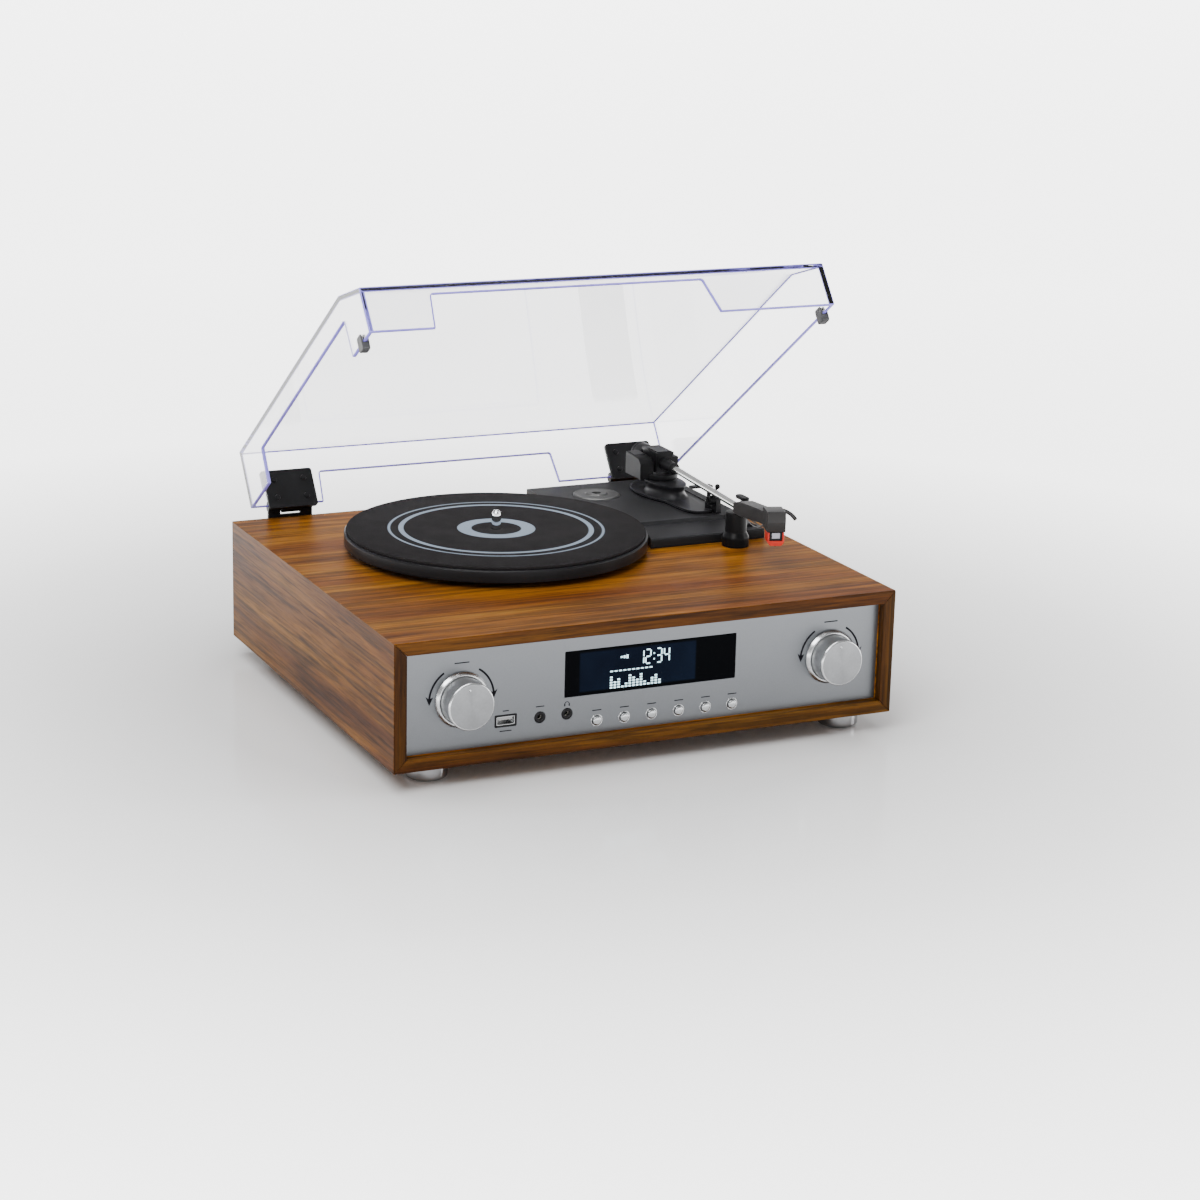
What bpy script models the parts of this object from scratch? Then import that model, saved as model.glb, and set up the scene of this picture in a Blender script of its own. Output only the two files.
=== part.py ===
"""Turntable record player with a hinged clear lid, modelled as an assembly of separate pieces.

All sizes are in millimetres in the cabinet's own frame: X to the right from the left side, Y back from
the front face, Z up from the underside of the wooden cabinet. at() turns that into world metres, whose
origin is the middle of the whole object's footprint, on the surface that the feet stand on.
"""
import math

import bmesh
import bpy
from mathutils import Matrix, Vector

MM = 0.001
GAP = 0.3

# Cabinet
CABINET_WIDTH = 390.0
CABINET_DEPTH = 354.0
CABINET_HEIGHT = 92.7
WALL = 9.0
FRAME_BAR = 9.3
FRAME_DEPTH = 7.2
VENT_HEIGHTS = (24, 37, 50)
FOOT_HEIGHT = 15.0
FOOT_RADIUS = 15.0
FOOT_PLACES = {"front_left": (36, 31), "front_right": (364, 31), "rear_left": (36, 322), "rear_right": (364, 322)}

# Front panel
FASCIA_FRONT = 7.5
FASCIA_BACK = 9.5
BOARD_FRONT = 22.0
DISPLAY = (130.0, 263.5, 38.4, 71.3)
KNOB_PLACES = {"left": (52.2, 46.0), "right": (341.0, 46.0)}
KNOB_FRONT = -11.7
KNOB_RADIUS = 17.0
BUTTON_HEIGHT = 18.7
BUTTON_FIRST = 155.0
BUTTON_PITCH = 21.4
BUTTON_RADIUS = 3.35
USB_CENTRE = (85.4, 26.6)
JACK_PLACES = {"aux_jack": (111.3, 26.0), "headphone_jack": (132.0, 26.2)}

# Platter and drive
SPINDLE = (161.8, 208.1)
SPINDLE_RADIUS = 3.6
PLATTER_RADIUS = 115.0
PLATTER_TOP = 13.8
MAT_TOP = 16.0
DRIVE_RING_RADIUS = 78.0
PULLEY = (93.8, 276.1)
PULLEY_RADIUS = 6.0
BELT_THICKNESS = 0.8

# Tonearm
PIVOT = (339.0, 289.0)
PIVOT_HEIGHT = 36.3
TUBE_RADIUS = 2.7
TUBE_BACK = (339.0, 262.0, 36.0)
TUBE_FRONT = (338.1, 149.8, 31.2)
HEAD = (337.2, 92.0)
HEAD_YAW = 18.0
ARM_REST = (338.5, 154.5)
CLIP_PIVOT = (345.2, 153.5)
CUE_TUBE = (350.5, 224.5)
CUE_HUB = (347.0, 214.0, 21.0)
ARM_PLATE = [(326, 316), (320, 302), (319, 290), (319.5, 278), (323, 264), (327.5, 252), (328, 234), (329.5, 222),
             (334, 214.5), (341, 212.5), (348, 214), (354.5, 219), (357, 231), (358, 256), (358.5, 294), (357, 312),
             (350, 322), (336, 324)]
CUE_BALL = (347.0, 203.5, 34.5)
ADAPTER = (288.0, 300.0)

# Lid, described shut and then swung open about its hinge
HINGE = (356.8, 101.0)
LID_OPEN = 35.3
LID_LEFT = 14.5
LID_RIGHT = 378.0
LID_FRONT = 28.4
LID_BACK = 351.9
LID_RIM = 98.75
LID_TOP = 147.25
LID_WALL = 3.0
HINGE_PLACES = {"left": 48.0, "right": 344.0}

TOP = CABINET_HEIGHT
LID_SWING = math.radians(LID_OPEN)
REARMOST = HINGE[0] + (LID_BACK - HINGE[0]) * math.cos(LID_SWING) + (LID_TOP - HINGE[1]) * math.sin(LID_SWING)
ORIGIN = Vector((CABINET_WIDTH / 2, (KNOB_FRONT + REARMOST) / 2, -FOOT_HEIGHT))

COLOURS = {
    "walnut": ((0.33, 0.13, 0.035), 0.45, 0.0),
    "walnut_frame": ((0.20, 0.075, 0.02), 0.45, 0.0),
    "aluminium": ((0.60, 0.62, 0.64), 0.35, 1.0),
    "display": ((0.005, 0.006, 0.010), 0.08, 0.0),
    "chrome": ((0.85, 0.86, 0.88), 0.06, 1.0),
    "black_plastic": ((0.016, 0.016, 0.018), 0.35, 0.0),
    "black_rubber": ((0.022, 0.022, 0.022), 0.75, 0.0),
    "mat_felt": ((0.020, 0.018, 0.018), 0.9, 0.0),
    "acrylic": ((0.92, 0.92, 0.97), 0.03, 0.0),
    "steel": ((0.55, 0.55, 0.56), 0.3, 1.0),
    "red_plastic": ((0.60, 0.035, 0.015), 0.35, 0.0),
    "circuit_board": ((0.02, 0.12, 0.05), 0.5, 0.0),
    "fibreboard": ((0.05, 0.04, 0.035), 0.8, 0.0),
}

parts = None
cutters = None


def at(x, y, z):
    """World position in metres of a point in the cabinet's frame."""
    return (Vector((x, y, z)) - ORIGIN) * MM


def deck(x, y, z):
    """World position of a point whose height is measured from the cabinet's top."""
    return at(x, y, TOP + z)


def material(name):
    found = bpy.data.materials.get(name)
    if found:
        return found
    colour, roughness, metallic = COLOURS[name]
    made = bpy.data.materials.new(name)
    made.use_nodes = True
    shader = made.node_tree.nodes["Principled BSDF"]
    shader.inputs["Base Color"].default_value = (*colour, 1.0)
    shader.inputs["Roughness"].default_value = roughness
    shader.inputs["Metallic"].default_value = metallic
    made.diffuse_color = (*colour, 1.0)
    return made


def evaluated_mesh(temporary, name):
    """The temporary object's final mesh, welded and with its faces pointing out."""
    bpy.context.view_layer.update()
    graph = bpy.context.evaluated_depsgraph_get()
    mesh = bpy.data.meshes.new_from_object(temporary.evaluated_get(graph))
    mesh.name = name
    mesh.materials.clear()
    bpy.data.objects.remove(temporary)
    work = bmesh.new()
    work.from_mesh(mesh)
    bmesh.ops.remove_doubles(work, verts=work.verts, dist=1e-6)
    bmesh.ops.recalc_face_normals(work, faces=work.faces)
    work.to_mesh(mesh)
    work.free()
    return mesh


def add_part(name, mesh, finish, origin):
    """A named part whose mesh is given in world metres and whose own origin is at origin."""
    mesh.transform(Matrix.Translation(-origin))
    mesh.shade_smooth()
    mesh.set_sharp_from_angle(angle=math.radians(35))
    mesh.materials.append(material(finish))
    part = bpy.data.objects.new(name, mesh)
    part.location = origin
    parts.objects.link(part)
    return part


def centre_of(mesh):
    total = Vector((0, 0, 0))
    for vertex in mesh.vertices:
        total += vertex.co
    return total / len(mesh.vertices)


def box_mesh(low, high, bevel=0.0):
    """A block between two corners given in the cabinet's frame."""
    work = bmesh.new()
    bmesh.ops.create_cube(work, size=1.0)
    middle = (Vector(low) + Vector(high)) / 2
    size = Vector(high) - Vector(low)
    for vertex in work.verts:
        vertex.co = Vector([c * s for c, s in zip(vertex.co, size)]) + middle
    if bevel:
        bmesh.ops.bevel(work, geom=work.edges[:], offset=bevel, segments=1, affect="EDGES")
    for vertex in work.verts:
        vertex.co = at(*vertex.co)
    mesh = bpy.data.meshes.new("block")
    work.to_mesh(mesh)
    work.free()
    return mesh


def walls_mesh(stations):
    """Four walls round the cabinet's outline, mitred at its corners.

    Each station of their section is (inset from the cabinet's sides, distance back).
    """
    work = bmesh.new()
    rings = []
    for inset, back in stations:
        right = CABINET_WIDTH - inset
        top = CABINET_HEIGHT - inset
        corners = [(inset, inset), (right, inset), (right, top), (inset, top)]
        rings.append([work.verts.new(at(x, back, z)) for x, z in corners])
    for ring, following in zip(rings, rings[1:] + rings[:1]):
        for side in range(4):
            beside = (side + 1) % 4
            work.faces.new((ring[side], ring[beside], following[beside], following[side]))
    bmesh.ops.recalc_face_normals(work, faces=work.faces)
    mesh = bpy.data.meshes.new("walls")
    work.to_mesh(mesh)
    work.free()
    return mesh


def prism_mesh(outlines, axis, low, high):
    """Flat outlines pushed along an axis. The first is the outside, any others are holes.

    Outline points are (y, z) for axis X, (x, z) for axis Y and (x, y) for axis Z.
    """
    curve = bpy.data.curves.new("outline", "CURVE")
    curve.dimensions = "2D"
    curve.fill_mode = "BOTH"
    curve.extrude = (high - low) / 2 * MM
    for outline in outlines:
        spline = curve.splines.new("POLY")
        spline.points.add(len(outline) - 1)
        spline.use_cyclic_u = True
        for point, (a, b) in zip(spline.points, outline):
            point.co = (a * MM, b * MM, 0.0, 1.0)
    temporary = bpy.data.objects.new("outline", curve)
    bpy.context.scene.collection.objects.link(temporary)
    mesh = evaluated_mesh(temporary, "prism")
    middle = (low + high) / 2
    if axis == "X":
        turn = Matrix(((0, 0, 1), (1, 0, 0), (0, 1, 0))).to_4x4()
        start = at(middle, 0, 0)
    elif axis == "Y":
        turn = Matrix(((1, 0, 0), (0, 0, -1), (0, 1, 0))).to_4x4()
        start = at(0, middle, 0)
    else:
        turn = Matrix.Identity(4)
        start = at(0, 0, middle)
    mesh.transform(Matrix.Translation(start) @ turn)
    return mesh


def turned_mesh(profile, axis, centre, steps=32):
    """A profile of (radius, distance) turned about an axis.

    About Z, centre is (x, y) and the profile runs down the outside. About X or Y, the profile's
    distance is measured along that axis.
    """
    work = bmesh.new()
    points = [work.verts.new((radius * MM, 0.0, along * MM)) for radius, along in profile]
    for first, second in zip(points, points[1:]):
        work.edges.new((first, second))
    if min(profile[0][0], profile[-1][0]) > 0:
        work.edges.new((points[-1], points[0]))
    mesh = bpy.data.meshes.new("profile")
    work.to_mesh(mesh)
    work.free()
    temporary = bpy.data.objects.new("profile", mesh)
    bpy.context.scene.collection.objects.link(temporary)
    screw = temporary.modifiers.new("Turn", "SCREW")
    screw.axis = "Z"
    screw.steps = steps
    screw.render_steps = steps
    screw.use_merge_vertices = True
    screw.merge_threshold = 0.00001
    made = evaluated_mesh(temporary, "turned")
    if axis == "Z":
        made.transform(Matrix.Translation(at(centre[0], centre[1], 0)))
    elif axis == "Y":
        made.transform(Matrix.Translation(at(centre[0], 0, centre[1])) @ Matrix.Rotation(-math.pi / 2, 4, "X"))
    else:
        made.transform(Matrix.Translation(at(0, centre[0], centre[1])) @ Matrix.Rotation(math.pi / 2, 4, "Y"))
    return made


def on_deck(profile):
    """A turned profile whose distances are heights above the cabinet's top."""
    return [(radius, TOP + height) for radius, height in profile]


def cylinder_mesh(radius, low, high, axis, centre, steps=24):
    return turned_mesh([(0, high), (radius, high), (radius, low), (0, low)], axis, centre, steps)


def tube_mesh(points, radius, sides=2):
    """A round bar through points in the cabinet's frame."""
    curve = bpy.data.curves.new("bar", "CURVE")
    curve.dimensions = "3D"
    curve.bevel_depth = radius * MM
    curve.bevel_resolution = sides
    curve.use_fill_caps = True
    spline = curve.splines.new("POLY")
    spline.points.add(len(points) - 1)
    for point, place in zip(spline.points, points):
        point.co = (*at(*place), 1.0)
    temporary = bpy.data.objects.new("bar", curve)
    bpy.context.scene.collection.objects.link(temporary)
    return evaluated_mesh(temporary, "bar")


def combine(part, mesh, operation):
    """Cut a mesh from a part, or join it on, with a Boolean modifier."""
    tool = bpy.data.objects.new(part.name + "_" + operation.lower(), mesh)
    tool.hide_render = True
    tool.display_type = "WIRE"
    cutters.objects.link(tool)
    boolean = part.modifiers.new(operation.title(), "BOOLEAN")
    boolean.operation = operation
    boolean.solver = "EXACT"
    boolean.object = tool
    return tool


def loft_mesh(levels):
    """A closed shape through outlines of (x, y), each at its own height, with as many points in each."""
    work = bmesh.new()
    rings = [[work.verts.new(at(x, y, height)) for x, y in outline] for height, outline in levels]
    for ring, after in zip(rings, rings[1:]):
        for step in range(len(ring)):
            beside = (step + 1) % len(ring)
            work.faces.new((ring[step], ring[beside], after[beside], after[step]))
    work.faces.new(list(reversed(rings[0])))
    work.faces.new(rings[-1])
    bmesh.ops.triangulate(work, faces=work.faces)
    mesh = bpy.data.meshes.new("loft")
    work.to_mesh(mesh)
    work.free()
    return mesh


def cut(part, mesh):
    return combine(part, mesh, "DIFFERENCE")


def join(part, mesh):
    return combine(part, mesh, "UNION")


def make(name, mesh, finish, origin=None):
    return add_part(name, mesh, finish, origin if origin else centre_of(mesh))


def carry(name, place, members):
    """Parent parts to an empty on a joint's axis, keeping them where they are."""
    empty = bpy.data.objects.new(name, None)
    empty.location = place
    empty.empty_display_size = 0.02
    bpy.context.scene.collection.objects.link(empty)
    for member in members:
        member.parent = empty
        member.matrix_parent_inverse = Matrix.Translation(-place)
    return empty


def arc(centre, radius, start, end, count):
    """Points on an arc, angles in degrees."""
    step = math.radians(end - start) / count
    first = math.radians(start)
    return [(centre[0] + radius * math.cos(first + step * i), centre[1] + radius * math.sin(first + step * i))
            for i in range(count + 1)]


def build_cabinet():
    clear = GAP * math.sqrt(2)
    walls = walls_mesh([(0, clear), (0, CABINET_DEPTH), (WALL, CABINET_DEPTH), (WALL, WALL + clear)])
    shell = make("cabinet_shell", walls, "walnut")
    cut(shell, cylinder_mesh(7, TOP - WALL - 2, TOP + 2, "Z", SPINDLE))
    cut(shell, cylinder_mesh(6.5, TOP - WALL - 2, TOP + 2, "Z", PULLEY))
    cut(shell, cylinder_mesh(6, TOP - WALL - 2, TOP + 2, "Z", PIVOT))

    bars = walls_mesh([(0, 0), (FRAME_DEPTH, FRAME_DEPTH), (FRAME_BAR, FRAME_DEPTH), (FRAME_BAR, 0)])
    make("front_frame", bars, "walnut_frame")

    back = make("rear_panel", box_mesh((FRAME_BAR, 349, FRAME_BAR),
                                       (CABINET_WIDTH - FRAME_BAR, 352, CABINET_HEIGHT - FRAME_BAR)), "fibreboard")
    cut(back, box_mesh((249.7, 340, 34.7), (310.3, 360, 57.3)))
    cut(back, box_mesh((169.7, 340, 37.7), (200.3, 360, 54.3)))
    for height in VENT_HEIGHTS:
        cut(back, box_mesh((80, 340, height), (150, 360, height + 6)))

    foot = [(0, -GAP), (12.5, -GAP), (12.5, -2.5), (FOOT_RADIUS, -3.5),
            (FOOT_RADIUS, -13.8), (14.2, -FOOT_HEIGHT), (0, -FOOT_HEIGHT)]
    for name, place in FOOT_PLACES.items():
        make("foot_" + name, turned_mesh(foot, "Z", place, 28), "chrome")


def build_front_panel():
    edge = FRAME_BAR + GAP
    low = (edge, FASCIA_FRONT, edge)
    high = (CABINET_WIDTH - edge, FASCIA_BACK, CABINET_HEIGHT - edge)
    fascia = make("fascia", box_mesh(low, high), "aluminium")
    through = (FASCIA_FRONT - 5, FASCIA_BACK + 5)
    x0, x1, z0, z1 = DISPLAY
    cut(fascia, box_mesh((x0 - GAP, through[0], z0 - GAP), (x1 + GAP, through[1], z1 + GAP)))
    usb_x, usb_z = USB_CENTRE
    cut(fascia, box_mesh((usb_x - 8.3, through[0], usb_z - 4.5), (usb_x + 8.3, through[1], usb_z + 4.5)))
    for place in KNOB_PLACES.values():
        cut(fascia, cylinder_mesh(3.6, *through, "Y", place, 16))
    for place in JACK_PLACES.values():
        cut(fascia, cylinder_mesh(4.3, *through, "Y", place, 20))
    for number in range(6):
        place = (BUTTON_FIRST + number * BUTTON_PITCH, BUTTON_HEIGHT)
        cut(fascia, cylinder_mesh(4.2, *through, "Y", place, 20))

    make("display_window", box_mesh((x0, 7.2, z0), (x1, 9.2, z1)), "display")
    make("lcd_module", box_mesh((x0 - 4, 9.8, z0 - 4), (x1 + 4, 17, z1 + 4)), "black_plastic")
    make("front_board", box_mesh((36, BOARD_FRONT, 12), (358, BOARD_FRONT + 1.6, 80)), "circuit_board")
    for name, place in KNOB_PLACES.items():
        build_knob(name, place)
    for number in range(6):
        build_button(number + 1, (BUTTON_FIRST + number * BUTTON_PITCH, BUTTON_HEIGHT))
    build_sockets()


def build_knob(name, place):
    x, z = place
    ring = [(17.5, 7.2), (20.0, 7.2), (20.0, 5.4), (18.6, 3.6), (17.5, 3.6)]
    make("knob_ring_" + name, turned_mesh(ring, "Y", place, 40), "aluminium")
    body = [(0, 15.0), (3.0, 15.0), (3.0, 6.0), (KNOB_RADIUS, 6.0),
            (KNOB_RADIUS, KNOB_FRONT + 1.1), (KNOB_RADIUS - 1.1, KNOB_FRONT), (0, KNOB_FRONT)]
    knob = make("knob_" + name, turned_mesh(body, "Y", place, 40), "aluminium", at(x, KNOB_FRONT, z))
    plunger = make("encoder_plunger_" + name, cylinder_mesh(2.8, 15.3, 17.4, "Y", place, 16),
                   "steel", at(x, 16, z))
    carry("knob_axis_" + name, at(x, 16, z), [knob, plunger])
    encoder = make("encoder_" + name, box_mesh((x - 7, 10.5, z - 7), (x + 7, BOARD_FRONT - GAP, z + 7)), "steel")
    cut(encoder, cylinder_mesh(3.4, 5, 19.5, "Y", place, 16))


def build_button(number, place):
    x, z = place
    body = [(0, 20.8), (1.2, 20.8), (1.2, 11.3), (5.2, 11.3), (5.2, 10.1),
            (BUTTON_RADIUS, 10.1), (BUTTON_RADIUS, 6.2), (2.9, 5.6), (0, 5.4)]
    make("button_%d" % number, turned_mesh(body, "Y", place, 18), "aluminium", at(x, 10, z))


def build_sockets():
    x, z = USB_CENTRE
    usb = make("usb_socket", box_mesh((x - 7.95, 7.9, z - 4.2), (x + 7.95, BOARD_FRONT - GAP, z + 4.2)), "steel")
    cut(usb, box_mesh((x - 6.7, 5, z - 2.95), (x + 6.7, 19, z + 2.95)))
    join(usb, box_mesh((x - 5.7, 9, z + 0.6), (x + 5.7, 20, z + 2.4)))
    barrel = [(1.8, BOARD_FRONT - GAP), (4.0, BOARD_FRONT - GAP), (4.0, 7.4), (3.6, 7.0), (1.8, 7.0)]
    for name, place in JACK_PLACES.items():
        make(name, turned_mesh(barrel, "Y", place, 20), "black_plastic")
    make("speaker_terminals", box_mesh((250, 345, 35), (310, 354.5, 57), 0.8), "black_plastic")
    sockets = make("line_out_sockets", box_mesh((170, 345, 38), (200, 353.5, 54)), "black_plastic")
    for offset in (-7.5, 7.5):
        join(sockets, cylinder_mesh(4.2, 350, 361, "Y", (185 + offset, 46), 16))


def belt_outline(clearance):
    """An open belt round the drive ring and the pulley, at a distance outside both."""
    across = Vector(PULLEY) - Vector(SPINDLE)
    heading = math.degrees(math.atan2(across.y, across.x))
    lean = math.degrees(math.acos((DRIVE_RING_RADIUS - PULLEY_RADIUS) / across.length))
    big = arc(SPINDLE, DRIVE_RING_RADIUS + clearance, heading + lean, heading - lean + 360, 48)
    small = arc(PULLEY, PULLEY_RADIUS + clearance, heading - lean, heading + lean, 8)
    return big + small


def ring_mesh(inner, outer, low, high):
    """A plain ring under the platter, between two heights above the cabinet's top."""
    return turned_mesh(on_deck([(inner, high), (outer, high), (outer, low), (inner, low)]), "Z", SPINDLE, 64)


def build_drive():
    under = 10.8
    disc = [(3.95, PLATTER_TOP), (PLATTER_RADIUS - 1, PLATTER_TOP), (PLATTER_RADIUS, PLATTER_TOP - 1),
            (PLATTER_RADIUS, under), (14, under), (14, 3.0), (3.95, 3.0)]
    platter = make("platter", turned_mesh(on_deck(disc), "Z", SPINDLE, 64), "black_plastic", deck(*SPINDLE, 10))
    rim = make("platter_rim", ring_mesh(112.5, PLATTER_RADIUS, 4.6, under - GAP), "black_plastic")
    drive = make("platter_drive_ring", ring_mesh(75.5, DRIVE_RING_RADIUS, 5.2, under - GAP), "black_plastic")
    felt = [(3.95, MAT_TOP), (113.4, MAT_TOP), (113.4, PLATTER_TOP + GAP), (3.95, PLATTER_TOP + GAP)]
    mat = make("slip_mat", turned_mesh(on_deck(felt), "Z", SPINDLE, 64), "mat_felt", deck(*SPINDLE, 15))
    carry("platter_axis", deck(*SPINDLE, 0), [platter, rim, drive, mat])
    pin = [(0, 30.5), (1.6, 30.2), (2.9, 29.0), (SPINDLE_RADIUS, 27.0), (SPINDLE_RADIUS, 2.6), (16, 2.6),
           (16, GAP), (6, GAP), (6, -18), (0, -18)]
    make("bearing_spindle", turned_mesh(on_deck(pin), "Z", SPINDLE, 28), "chrome")
    band = prism_mesh([belt_outline(GAP + BELT_THICKNESS), belt_outline(GAP)], "Z", TOP + 6.0, TOP + 9.6)
    make("drive_belt", band, "black_rubber")
    under = -WALL - 0.5
    motor = [(0, 9.4), (1.2, 9.4), (1.2, 3), (5, 3), (5, under), (18, under), (18, under - 22), (0, under - 22)]
    make("motor", turned_mesh(on_deck(motor), "Z", PULLEY, 24), "steel")
    wheel = [(1.5, 10.0), (PULLEY_RADIUS, 10.0), (PULLEY_RADIUS, 5.4), (1.5, 5.4)]
    make("motor_pulley", turned_mesh(on_deck(wheel), "Z", PULLEY, 20), "steel", deck(*PULLEY, 8))


def build_deck():
    side = [(166.5, GAP), (166.5, 6.6), (167.4, 7.5), (204.5, 7.5), (206, 10.5), (336.2, 10.5), (337, 9.7), (337, GAP)]
    outline = [(y, TOP + z) for y, z in side]
    plate = make("tonearm_deck", prism_mesh([outline], "X", 243, 370), "black_plastic")
    cut(plate, cylinder_mesh(PLATTER_RADIUS + 3, TOP - 5, TOP + 20, "Z", SPINDLE, 96))
    cut(plate, cylinder_mesh(19.5, TOP + 4.5, TOP + 20, "Z", ADAPTER, 32))
    cut(plate, cylinder_mesh(6, TOP - 5, TOP + 20, "Z", PIVOT, 24))
    cut(plate, box_mesh((355.5, 176, TOP + 4.2), (368.5, 181, TOP + 12)))
    disc = [(3.7, 12.1), (8, 12.1), (17.8, 11.5), (19, 10.7), (19, 4.8), (3.7, 4.8)]
    make("adapter_45", turned_mesh(on_deck(disc), "Z", ADAPTER, 32), "aluminium")
    make("speed_switch", box_mesh((359, 176.5, TOP + 4.5), (365, 180.5, TOP + 10.1), 0.5), "black_plastic")


def oval(centre_y, half_width, half_length, count=32):
    """An oval round the line under the arm, seen from above."""
    turns = [2 * math.pi * step / count for step in range(count)]
    return [(PIVOT[0] + half_width * math.cos(turn), centre_y + half_length * math.sin(turn)) for turn in turns]


def build_arm_base():
    base = make("arm_base", prism_mesh([ARM_PLATE], "Z", TOP + 10.8, TOP + 13.0), "black_plastic")
    levels = [(12.5, oval(277.5, 16, 27.5)), (14.0, oval(278, 14.2, 25.2)), (17.5, oval(279, 12.8, 23.8)),
              (21.5, oval(280, 14.0, 26.0)), (23.0, oval(280, 14.5, 26.5))]
    join(base, loft_mesh([(TOP + height, outline) for height, outline in levels]))
    cut(base, cylinder_mesh(5.3, TOP + 5, TOP + 30, "Z", PIVOT, 24))
    cut(base, cylinder_mesh(1.9, TOP + 5, TOP + 15, "Z", CUE_TUBE, 16))
    join(base, box_mesh((350, 209.5, TOP + 10.8), (354, 218.5, TOP + 23.5)))
    guide = [(1.9, 18), (2.9, 18), (2.9, 11.5), (1.9, 11.5)]
    join(base, turned_mesh(on_deck(guide), "Z", CUE_TUBE, 16))
    join(base, cylinder_mesh(1.2, 344.2, 351, "X", (CUE_HUB[1], TOP + CUE_HUB[2]), 12))


def build_arm():
    x, y = PIVOT
    axis = (y, TOP + PIVOT_HEIGHT)
    post = [(0, 27.8), (14.4, 27.8), (14.4, 23.6), (5.0, 23.6), (5.0, 14.5), (0, 14.5)]
    yoke = make("arm_yoke", turned_mesh(on_deck(post), "Z", PIVOT, 28), "black_plastic", deck(x, y, 26))
    housing = [(283, 24), (283, 36.5), (287, 40.2), (296, 41), (310.5, 41.5), (310.5, 24)]
    join(yoke, prism_mesh([[(b, TOP + z) for b, z in housing]], "X", 318.5, 330.2))
    join(yoke, box_mesh((347.2, y - 6, TOP + 24), (352, y + 7, TOP + 41)))
    cut(yoke, cylinder_mesh(1.8, 325, 360, "X", axis, 16))

    side = [(y - 8, 29.0), (y - 8, 44), (y + 18, 44), (y + 18, 33.5), (y + 4, 29.0)]
    outline = [(b, TOP + z) for b, z in side]
    block = make("arm_block", prism_mesh([outline], "X", 331.9, 346.1), "black_plastic", deck(x, y, PIVOT_HEIGHT))
    join(block, box_mesh((331.2, y - 8.8, TOP + 43.5), (346.8, y + 18.8, TOP + 46.2), 0.6))
    join(block, cylinder_mesh(4.4, 262.3, 285, "Y", (x, TOP + PIVOT_HEIGHT), 20))
    join(block, cylinder_mesh(3.0, 300, 328, "Y", (x, TOP + PIVOT_HEIGHT), 16))
    join(block, cylinder_mesh(1.4, 327, 350.5, "X", axis, 12))
    ring = [(3.3, 327), (8.0, 327), (8.5, 326.5), (8.5, 311.5), (8.0, 311), (3.3, 311)]
    weight = make("counterweight", turned_mesh(ring, "Y", (x, TOP + PIVOT_HEIGHT), 28), "steel")

    ends = [(a, b, TOP + c) for a, b, c in (TUBE_BACK, TUBE_FRONT)]
    tube = make("arm_tube", tube_mesh(ends, TUBE_RADIUS, 4), "chrome")
    head = build_head()
    carry("arm_pitch_axis", deck(x, y, PIVOT_HEIGHT), [block, weight, tube, *head])
    carry("arm_yaw_axis", deck(x, y, 26), [yoke])


def turn_head(mesh):
    """Turn a piece of the head in plan, so that it lies along the groove and not along the arm."""
    place = at(*HEAD, 0)
    turn = Matrix.Rotation(-math.radians(HEAD_YAW), 4, "Z")
    mesh.transform(Matrix.Translation(place) @ turn @ Matrix.Translation(-place))
    return mesh


def build_head():
    x, y = HEAD
    neck = [(149.5, 27.6), (149.5, 35.4), (140, 38.4), (100, 40.0), (100, 31.0), (135, 27.6)]
    outline = [(b, TOP + z) for b, z in neck]
    shell = make("headshell", prism_mesh([outline], "X", 332.6, 343.8), "black_plastic")
    join(shell, turn_head(box_mesh((x - 7.3, y - 10, TOP + 28.3), (x + 7.3, y + 10, TOP + 43.7), 0.9)))
    finger = [(341.5, 94.6, 42.0), (344.8, 93.2, 42.0), (348.3, 90.2, 40.6), (350.3, 87.0, 38.6), (351.0, 84.4, 36.4)]
    join(shell, tube_mesh([(a, b, TOP + c) for a, b, c in finger], 1.1))

    body = turn_head(box_mesh((x - 4.6, y - 9, TOP + 21.8), (x + 4.6, y + 6, TOP + 28.0)))
    cartridge = make("cartridge", body, "black_plastic")
    guard = [(6.3, 28.0), (6.3, 20.4), (4.6, 18.2), (3.2, 17.8), (-3.2, 17.8), (-4.6, 18.2), (-6.3, 20.4),
             (-6.3, 28.0), (-4.9, 28.0), (-4.9, 21.5), (4.9, 21.5), (4.9, 28.0)]
    outline = [(x + u, TOP + z) for u, z in guard]
    stylus = make("stylus", turn_head(prism_mesh([outline], "Y", y - 9.6, y + 2)), "red_plastic")
    tip = turned_mesh(on_deck([(0, 18.6), (0.7, 18.6), (0.35, 16.9), (0, 16.9)]), "Z", (x, y - 7.5), 8)
    join(stylus, turn_head(tip))
    return [shell, cartridge, stylus]


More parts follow.
